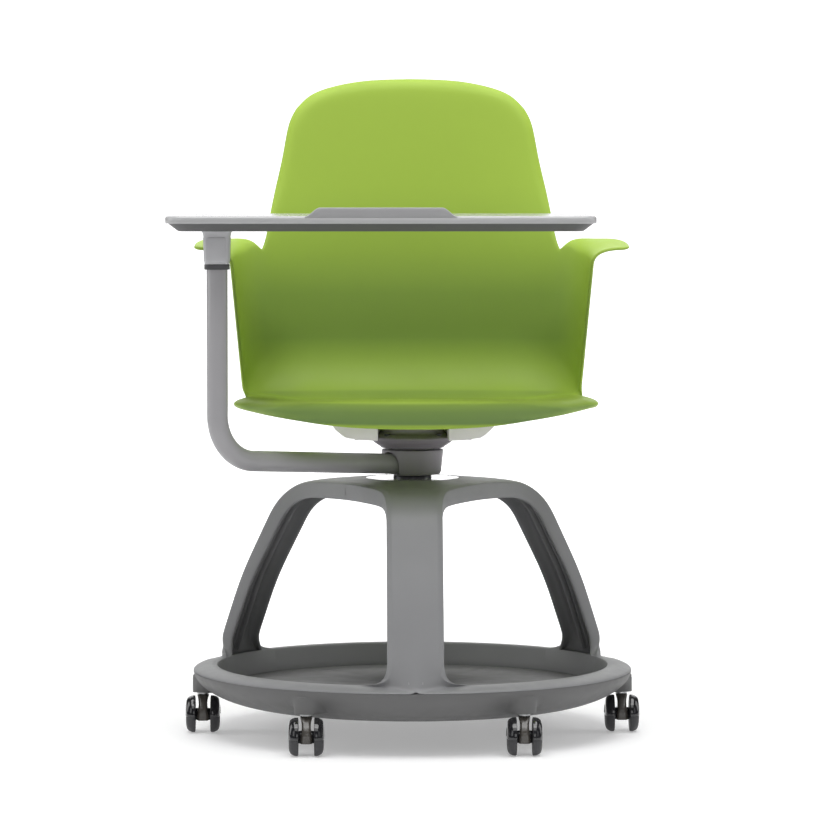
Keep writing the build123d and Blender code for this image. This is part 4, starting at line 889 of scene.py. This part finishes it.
def build_sector():
    rows, foot_u = sector_rows()
    shares = [0.0, 0.22, 0.44, 0.62, 0.77]
    sheet = []
    for kind, left, right_point, window, depth_way, depth, skin in rows:
        right_r = math.hypot(right_point[0], right_point[1])
        right_az = math.atan2(right_point[1], right_point[0])
        line = []
        if kind in ("hub", "leg"):
            for share in shares:
                r = left + (right_r - left) * share
                if kind == "leg" and left > 0.19:
                    t = right_point[1] * share
                    point = np.array([left, t, dome_z(math.hypot(left, t))])
                else:
                    az = right_az * share
                    point = np.array([r * math.cos(az), r * math.sin(az), dome_z(r)])
                line.append(point)
        else:
            if kind == "foot":
                z = dome_z(foot_u) + (0.0868 - dome_z(foot_u)) * left
                r = float(np.interp(-z, [-v for v in DOME_Z], DOME_R))
                left_point = np.array([r, 0.0, z])
            else:
                left_point = lip_point(0.0, left)
            for share in shares:
                straight = left_point + (right_point - left_point) * share
                if kind == "rim" and right_az > math.radians(FLARE_END + 0.1):
                    az = left + (right_az - left) * share
                    straight = lip_point(share, az)
                line.append(straight)
        inner = [p + depth_way * skin for p in line]
        crease = on_surface(right_point - window * STRIP, right_point, kind, right_point[2])
        crease_in = on_surface(right_point - window * (STRIP + 0.0006), right_point, kind, right_point[2])
        edge = [
            crease_in,
            crease - window * 0.0001 + depth_way * 0.0001,
            right_point - window * 0.0011 + depth_way * 0.0012,
            right_point - window * 0.0003 + depth_way * 0.0016,
            right_point + depth_way * 0.0026,
            right_point + depth_way * (depth * 0.5),
            right_point + depth_way * (depth - 0.0015),
            right_point - window * 0.0015 + depth_way * depth,
            right_point - window * 0.0040 + depth_way * depth,
            right_point - window * LEG_WALL + depth_way * (depth - 0.0015),
            right_point - window * LEG_WALL + depth_way * (skin + 0.001),
        ]
        if kind == "rim":
            lip_edge = lip_point(0.0, left)
            start = [lip_edge * np.array([1, 1, 0]) + np.array([0, 0, 0.0851])]
            line[0] = lip_edge
        else:
            start = [line[0]]
        sheet.append(start + line + edge + list(reversed(inner)))
    plate_wall = [p + np.array([0, 0, -0.0065]) if i < 8 else p for i, p in enumerate(sheet[0])]
    return [plate_wall] + sheet


def build_frame():
    sheet = build_sector()
    count = len(sheet[0])
    verts, faces = [], []
    for leg in range(3):
        for mirror in (1, -1):
            start = len(verts)
            for line in sheet:
                for u, t, z in line:
                    r, az = math.hypot(u, t), math.atan2(t, u) * mirror + math.radians(120 * leg)
                    verts.append((r * math.sin(az), -r * math.cos(az), z))
            quads = [quad for i, quad in enumerate(grid_faces(len(sheet), count, start=start))
                     if not (i // (count - 1) < 5 and HIDDEN_FROM <= i % (count - 1) <= HIDDEN_TO)]
            faces += quads if mirror == 1 else [tuple(reversed(q)) for q in quads]
    return piece("frame_shell", verts, faces, FRAME_GREY)


frame_shell = build_frame()
modifier(frame_shell, "SUBSURF", levels=1, render_levels=1)
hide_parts("base_frame")
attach(frame_shell, "base")

ring_core = lathe("frame_ring_core", round_corners([
    (0.2653, 0.0922), (0.2573, 0.0612), (0.2603, 0.0612), (0.2683, 0.0880), (0.2930, 0.0850), (0.2930, 0.0878)
], 0.0006, steps=2), FRAME_GREY, segments=180)
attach(ring_core, "base")
boss = lathe("frame_boss", round_corners([
    (0.0262, 0.3390), (0.0262, 0.2622), (0.0350, 0.2622), (0.0350, 0.3180), (0.0400, 0.3380), (0.0640, 0.3380),
    (0.0640, 0.3390)
], 0.0012, steps=3), FRAME_GREY)
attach(boss, "base")

RIB_ROWS = 31
RIB_START, RIB_END = 0.080, 0.2925
RIB_OFFSET = 0.0087


def leg_rib(leg, offset):
    """One of the upright stiffening ribs inside a leg's channel."""
    verts = []
    for k in range(RIB_ROWS):
        u = RIB_START + (RIB_END - RIB_START) * k / (RIB_ROWS - 1)
        radial, up = dome_normal(u)
        z = dome_z(u)
        foot = leg_depth(u) - 0.0065
        for t, depth in ((-0.0010, 0.003), (0.0010, 0.003), (0.0007, foot), (-0.0007, foot)):
            pu, pt, pz = u - radial * depth, offset + t, z - up * depth
            r, az = math.hypot(pu, pt), math.atan2(pt, pu) + math.radians(120 * leg)
            verts.append((r * math.sin(az), -r * math.cos(az), max(pz, 0.0885)))
    end = 4 * RIB_ROWS - 1
    faces = grid_faces(RIB_ROWS, 4, closed=True) + [(0, 1, 2, 3), (end, end - 1, end - 2, end - 3)]
    rib = piece(f"frame_rib_{leg + 1}_{'a' if offset > 0 else 'b'}", verts, faces, FRAME_GREY)
    modifier(rib, "BEVEL", width=0.0004, segments=1)
    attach(rib, "base")


for leg in range(3):
    for offset in (-RIB_OFFSET, RIB_OFFSET):
        leg_rib(leg, offset)

# ---------------------------------------------------------------- storage pan
PAN_SEGMENTS = 264
CASTER_CIRCLE = 0.2845
BOSS_R = 0.0162
BOSS_Z, BOSS_ROUND_Z, BOSS_ROUND = 0.054, 0.071, 0.0125
BOSS_SOFT = 0.0035
SKIRT_MAX_R = 0.2984
SKIRT_Z = [
    0.085, 0.0845, 0.0838, 0.082, 0.080, 0.078, 0.0755, 0.073, 0.070, 0.066, 0.062, 0.058, 0.0552, 0.0545, 0.0541,
    0.0539, 0.053, 0.051, 0.049, 0.047, 0.045, 0.0433, 0.0418, 0.0405, 0.0395, 0.0388, 0.0386
]


def skirt_radius(z, wall=0.0):
    """Radius of the skirt's curve at a height, or of a line inside it by a wall."""
    reach, drop = 0.098 - wall, 0.0465 - wall
    down = min(1.0, max(0.0, (0.085 - z) / drop))
    return 0.1993 + reach * (1 - down**1.84) ** (1 / 1.84)


def build_pan():
    """The dish's curved skirt, swollen over each caster; a point's third value says whether it may swell."""
    profile = [(skirt_radius(z), z, z) for z in SKIRT_Z]
    profile[0] = (0.2966, 0.085, 0.0)
    profile[1] = (0.2972, 0.0844, 0.0)
    inner = [(0.1993, 0.0385, 0.0), (0.1980, 0.0395, 0.0), (0.1985, 0.0425, 0.0)]
    inner += [(skirt_radius(z, 0.004), z, 0.0) for z in (0.0428, 0.0440, 0.047, 0.052, 0.058, 0.066, 0.074, 0.082)]
    inner += [(0.2925, 0.0845, 0.0)]
    full = profile + inner
    verts = []
    for s in range(PAN_SEGMENTS):
        azimuth = 2 * math.pi * s / PAN_SEGMENTS
        offset = (azimuth - math.radians(30)) % math.radians(60)
        if offset > math.radians(30):
            offset -= math.radians(60)
        lateral = CASTER_CIRCLE * math.sin(offset)
        for r, z, bump in full:
            if bump > BOSS_Z and abs(lateral) < BOSS_R + 0.004:
                reach = max(0.0, BOSS_R * (1 - max(0.0, (z - BOSS_ROUND_Z) / BOSS_ROUND) ** 2))
                if reach > abs(lateral):
                    front = CASTER_CIRCLE * math.cos(offset) + math.sqrt(reach**2 - lateral**2)
                else:
                    front = CASTER_CIRCLE * math.cos(offset) - 2 * (abs(lateral) - reach)
                share = min(1.0, max(0.0, 0.5 + (front - r) / (2 * BOSS_SOFT)))
                r = min(r + (front - r) * share + BOSS_SOFT * share * (1 - share), SKIRT_MAX_R)
            verts.append((r * math.sin(azimuth), -r * math.cos(azimuth), z))
    count = len(full)
    faces = grid_faces(PAN_SEGMENTS, count, closed=True)
    last = (PAN_SEGMENTS - 1) * count
    faces += [(last + c, last + (c + 1) % count, (c + 1) % count, c) for c in range(count)]
    return piece("pan_skirt", verts, faces, PAN_GREY)


pan_skirt = build_pan()
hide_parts("storage_pan")
pan_floor = lathe("pan_floor", [
    (0.00001, 0.0575), (0.2600, 0.0575), (0.2603, 0.0578), (0.2603, 0.0610), (0.2566, 0.0610), (0.2558, 0.0616),
    (0.2480, 0.0616), (0.00001, 0.0616)
], PAN_GREY, segments=180)
for part in (pan_skirt, pan_floor):
    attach(part, "base")


def pan_boss(number, x, y):
    """The underside of one caster boss, from the skirt's inner face down to the stem's collar."""
    boss_piece = lathe(f"pan_boss_{number}", round_corners([
        (0.0056, 0.0770), (0.0056, 0.0540), (0.0138, 0.0540), (0.0138, 0.0700), (0.0138, 0.0770)
    ], 0.0010, steps=3), PAN_GREY, centre=(x, y, 0.0), segments=48)
    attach(boss_piece, "base")


for k in range(12):
    azimuth = math.radians(15 + 30 * k)
    low_r, high_r = 0.2040, 0.2360
    side_way = np.array([math.cos(azimuth), math.sin(azimuth)])
    out_way = np.array([math.sin(azimuth), -math.cos(azimuth)])
    corners = [(low_r, 0.0430), (high_r, 0.0455), (high_r, 0.0578), (low_r, 0.0578)]
    verts = [(*(out_way * r + side_way * t), z) for t in (-0.0018, 0.0018) for r, z in corners]
    faces = [(0, 1, 2, 3), (7, 6, 5, 4)] + [(c, (c + 1) % 4, 4 + (c + 1) % 4, 4 + c) for c in range(4)]
    web = piece(f"pan_web_{k + 1}", verts, faces, PAN_GREY)
    modifier(web, "BEVEL", width=0.0005, segments=2)
    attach(web, "base")

# ---------------------------------------------------------------- casters
WHEEL_PROFILE = round_corners([
    (0.0031, 0.0103), (0.0070, 0.0100), (0.0235, 0.0103), (0.0245, 0.0112), (0.0245, 0.0150), (0.0215, 0.0212),
    (0.0150, 0.0228), (0.0031, 0.0230)
], [0.0, 0.001, 0.001, 0.001, 0.012, 0.010, 0.02, 0.0], steps=5)
HOOD_PROFILE = round_corners([
    (0.0248, 0.0106), (0.0256, 0.0106), (0.0256, 0.0154), (0.0224, 0.0219), (0.0120, 0.0236), (0.0120, 0.0231),
    (0.0216, 0.0214), (0.0248, 0.0150)
], [0.0003, 0.0004, 0.012, 0.010, 0.0002, 0.0002, 0.010, 0.012], steps=5)
HOOD_ARC = (math.radians(-3), math.radians(183))
BODY_LEVELS = [
    (0.0158, 0.0140, 0.0200, -0.0110), (0.0172, 0.0172, 0.0240, -0.0110), (0.0245, 0.0164, 0.0285, -0.0110),
    (0.0310, 0.0128, 0.0300, -0.0100), (0.0380, 0.0112, 0.0285, -0.0070), (0.0440, 0.0122, 0.0240, -0.0035),
    (0.0485, 0.0156, 0.0190, -0.0005), (0.0505, 0.0160, 0.0180, 0.0), (0.0508, 0.0150, 0.0170, 0.0)
]


def build_caster(number):
    joint = JOINTS[f"caster_swivel_{number}"]
    x, y, _ = joint["pos_m"]
    spin = JOINTS[f"wheel_spin_left_{number}"]["pos_m"]
    axle = (x, spin[1], spin[2])
    pan_boss(number, x, y)
    for hand, sign in (("left", -1), ("right", 1)):
        tyre = [(r, sign * h) for r, h in WHEEL_PROFILE]
        wheel = lathe(f"wheel_{hand}_{number}", tyre, TREAD, axle, "X", 56)
        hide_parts(f"caster_{number}_wheel_{hand}")
        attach(wheel, f"wheel_{hand}_{number}")
        cover = [(r, sign * h) for r, h in HOOD_PROFILE]
        hood = lathe(f"hood_{hand}_{number}", cover, CASTER_GLOSS, axle, "X", 40, HOOD_ARC)
        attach(hood, f"caster_{number}")
    loops = [rounded_rect(w, d, min(w, d) * 0.30, z, (x, y + shift), 5) for z, w, d, shift in BODY_LEVELS]
    body = stack(f"caster_body_{number}", loops, CASTER_BODY)
    modifier(body, "SUBSURF", levels=1, render_levels=1)
    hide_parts(f"caster_{number}_housing")
    flange = lathe(f"caster_flange_{number}", round_corners([
        (0.0031, -0.0101), (0.0080, -0.0101), (0.0085, -0.0070), (0.0085, 0.0070), (0.0080, 0.0101),
        (0.0031, 0.0101)
    ], 0.0006, steps=3), CASTER_GLOSS, axle, "X", 40)
    for part in (body, flange):
        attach(part, f"caster_{number}")


CASTER_BODY = plastic("caster_body", (0.075, 0.068, 0.060), rough=0.25, grain=600, bump=0.05, coat=0.3)
for number in range(1, 7):
    build_caster(number)

# ---------------------------------------------------------------- floor, lights, camera
def glow(mat, stops):
    """Light of a studio surface's own, from (y, strength) stops along the room."""
    nodes, links = mat.node_tree.nodes, mat.node_tree.links
    shader = nodes["Principled BSDF"]
    shader.inputs["Emission Color"].default_value = (1.0, 1.0, 1.0, 1)
    first, last = stops[0][0], stops[-1][0]
    coords = nodes.new("ShaderNodeTexCoord")
    split = nodes.new("ShaderNodeSeparateXYZ")
    share = nodes.new("ShaderNodeMapRange")
    share.inputs["From Min"].default_value = first
    share.inputs["From Max"].default_value = last
    ramp = nodes.new("ShaderNodeValToRGB")
    ramp.color_ramp.interpolation = "EASE"
    for _ in stops[2:]:
        ramp.color_ramp.elements.new(0.5)
    for element, (y, strength) in zip(ramp.color_ramp.elements, stops):
        element.position = (y - first) / (last - first)
        element.color = (strength, strength, strength, 1)
    links.new(coords.outputs["Object"], split.inputs["Vector"])
    links.new(split.outputs["Y"], share.inputs["Value"])
    links.new(share.outputs["Result"], ramp.inputs["Fac"])
    links.new(ramp.outputs["Color"], shader.inputs["Emission Strength"])
    return mat


def sheet_piece(name, corners, material):
    obj = piece(name, corners, [(0, 1, 2, 3)], material)
    return obj


# The floor glows on its own, dim in front and strongest toward the back; its glow around the chair is painted light
# that lifts the chair's shadow on the floor and lights the chair from below.
FLOOR_GLOW = glow(
    plastic("studio_floor_white", (0.74, 0.74, 0.745), rough=0.7, grain=300, bump=0.0, patch=0.004, wear_and_highlight=0.0),
    [(-2.0, 0.03), (-0.9, 0.30), (0.5, 0.32), (2.4, 0.9), (6.0, 1.0)])
WALL_WHITE = glow(
    plastic("studio_wall_white", (0.80, 0.80, 0.805), rough=0.8, grain=300, bump=0.0, patch=0.004, wear_and_highlight=0.0),
    [(5.0, 0.66), (7.0, 0.66)])
sheet_piece("studio_floor", [(-12, -9, 0), (12, -9, 0), (12, 9, 0), (-12, 9, 0)], FLOOR_GLOW)
sheet_piece("studio_wall", [(-3, 6, 0), (3, 6, 0), (3, 6, 5), (-3, 6, 5)], WALL_WHITE)

world = bpy.data.worlds.new("studio")
scene.world = world
world.use_nodes = True
world.node_tree.nodes["Background"].inputs["Color"].default_value = (0.97, 0.98, 1.0, 1)
world.node_tree.nodes["Background"].inputs["Strength"].default_value = 0.06


def softbox(name, place, target, size, power):
    data = bpy.data.lights.new(name, "AREA")
    data.shape = "RECTANGLE"
    data.size, data.size_y = size
    data.energy = power
    obj = bpy.data.objects.new(name, data)
    scene.collection.objects.link(obj)
    obj.location = place
    obj.rotation_mode = "QUATERNION"
    obj.rotation_quaternion = (Vector(target) - Vector(place)).to_track_quat("-Z", "Y")
    return obj


softbox("overhead", (0.0, -0.4, 3.0), (0, 0, 0.4), (3.0, 2.6), 92)
softbox("overhead_front", (0.0, -1.9, 2.6), (0, 0, 0.5), (2.4, 1.4), 18)
softbox("behind", (0.0, 2.6, 2.4), (0, 0, 0.5), (4.0, 1.6), 12)
softbox("front_centre", (0.5, -5.6, 1.5), (0, 0, 0.4), (1.6, 1.6), 12)
softbox("front_left", (-2.6, -3.2, 1.9), (0, 0, 0.5), (1.8, 2.2), 14)
softbox("front_right", (2.8, -3.0, 1.6), (0, 0, 0.5), (1.6, 2.2), 6)
softbox("side_left", (-2.8, 0.2, 1.5), (0, 0, 0.5), (1.6, 2.2), 25)
softbox("side_right", (2.8, 0.2, 1.5), (0, 0, 0.5), (1.6, 2.2), 20)

VIEW_YAW = math.radians(0.9)
VIEW_PITCH = 0.05708
VIEW_DISTANCE = 6.0166
VIEW_HEIGHT = 0.774
VIEW_SIDE = 0.0035
SENSOR = 36.0
FOCAL_SHARE = 4444 / 830
camera_data = bpy.data.cameras.new("camera")
camera_data.sensor_width = SENSOR
camera_data.lens = FOCAL_SHARE * SENSOR
camera_data.clip_end = 100
camera = bpy.data.objects.new("camera", camera_data)
scene.collection.objects.link(camera)
right = Vector((math.cos(VIEW_YAW), -math.sin(VIEW_YAW), 0))
forward_flat = Vector((math.sin(VIEW_YAW), math.cos(VIEW_YAW), 0))
camera.location = -forward_flat * VIEW_DISTANCE + right * VIEW_SIDE + Vector((0, 0, VIEW_HEIGHT))
look = forward_flat * math.cos(VIEW_PITCH) - Vector((0, 0, math.sin(VIEW_PITCH)))
camera.rotation_mode = "QUATERNION"
camera.rotation_quaternion = look.to_track_quat("-Z", "Y")
scene.camera = camera
scene.view_settings.view_transform = "Standard"
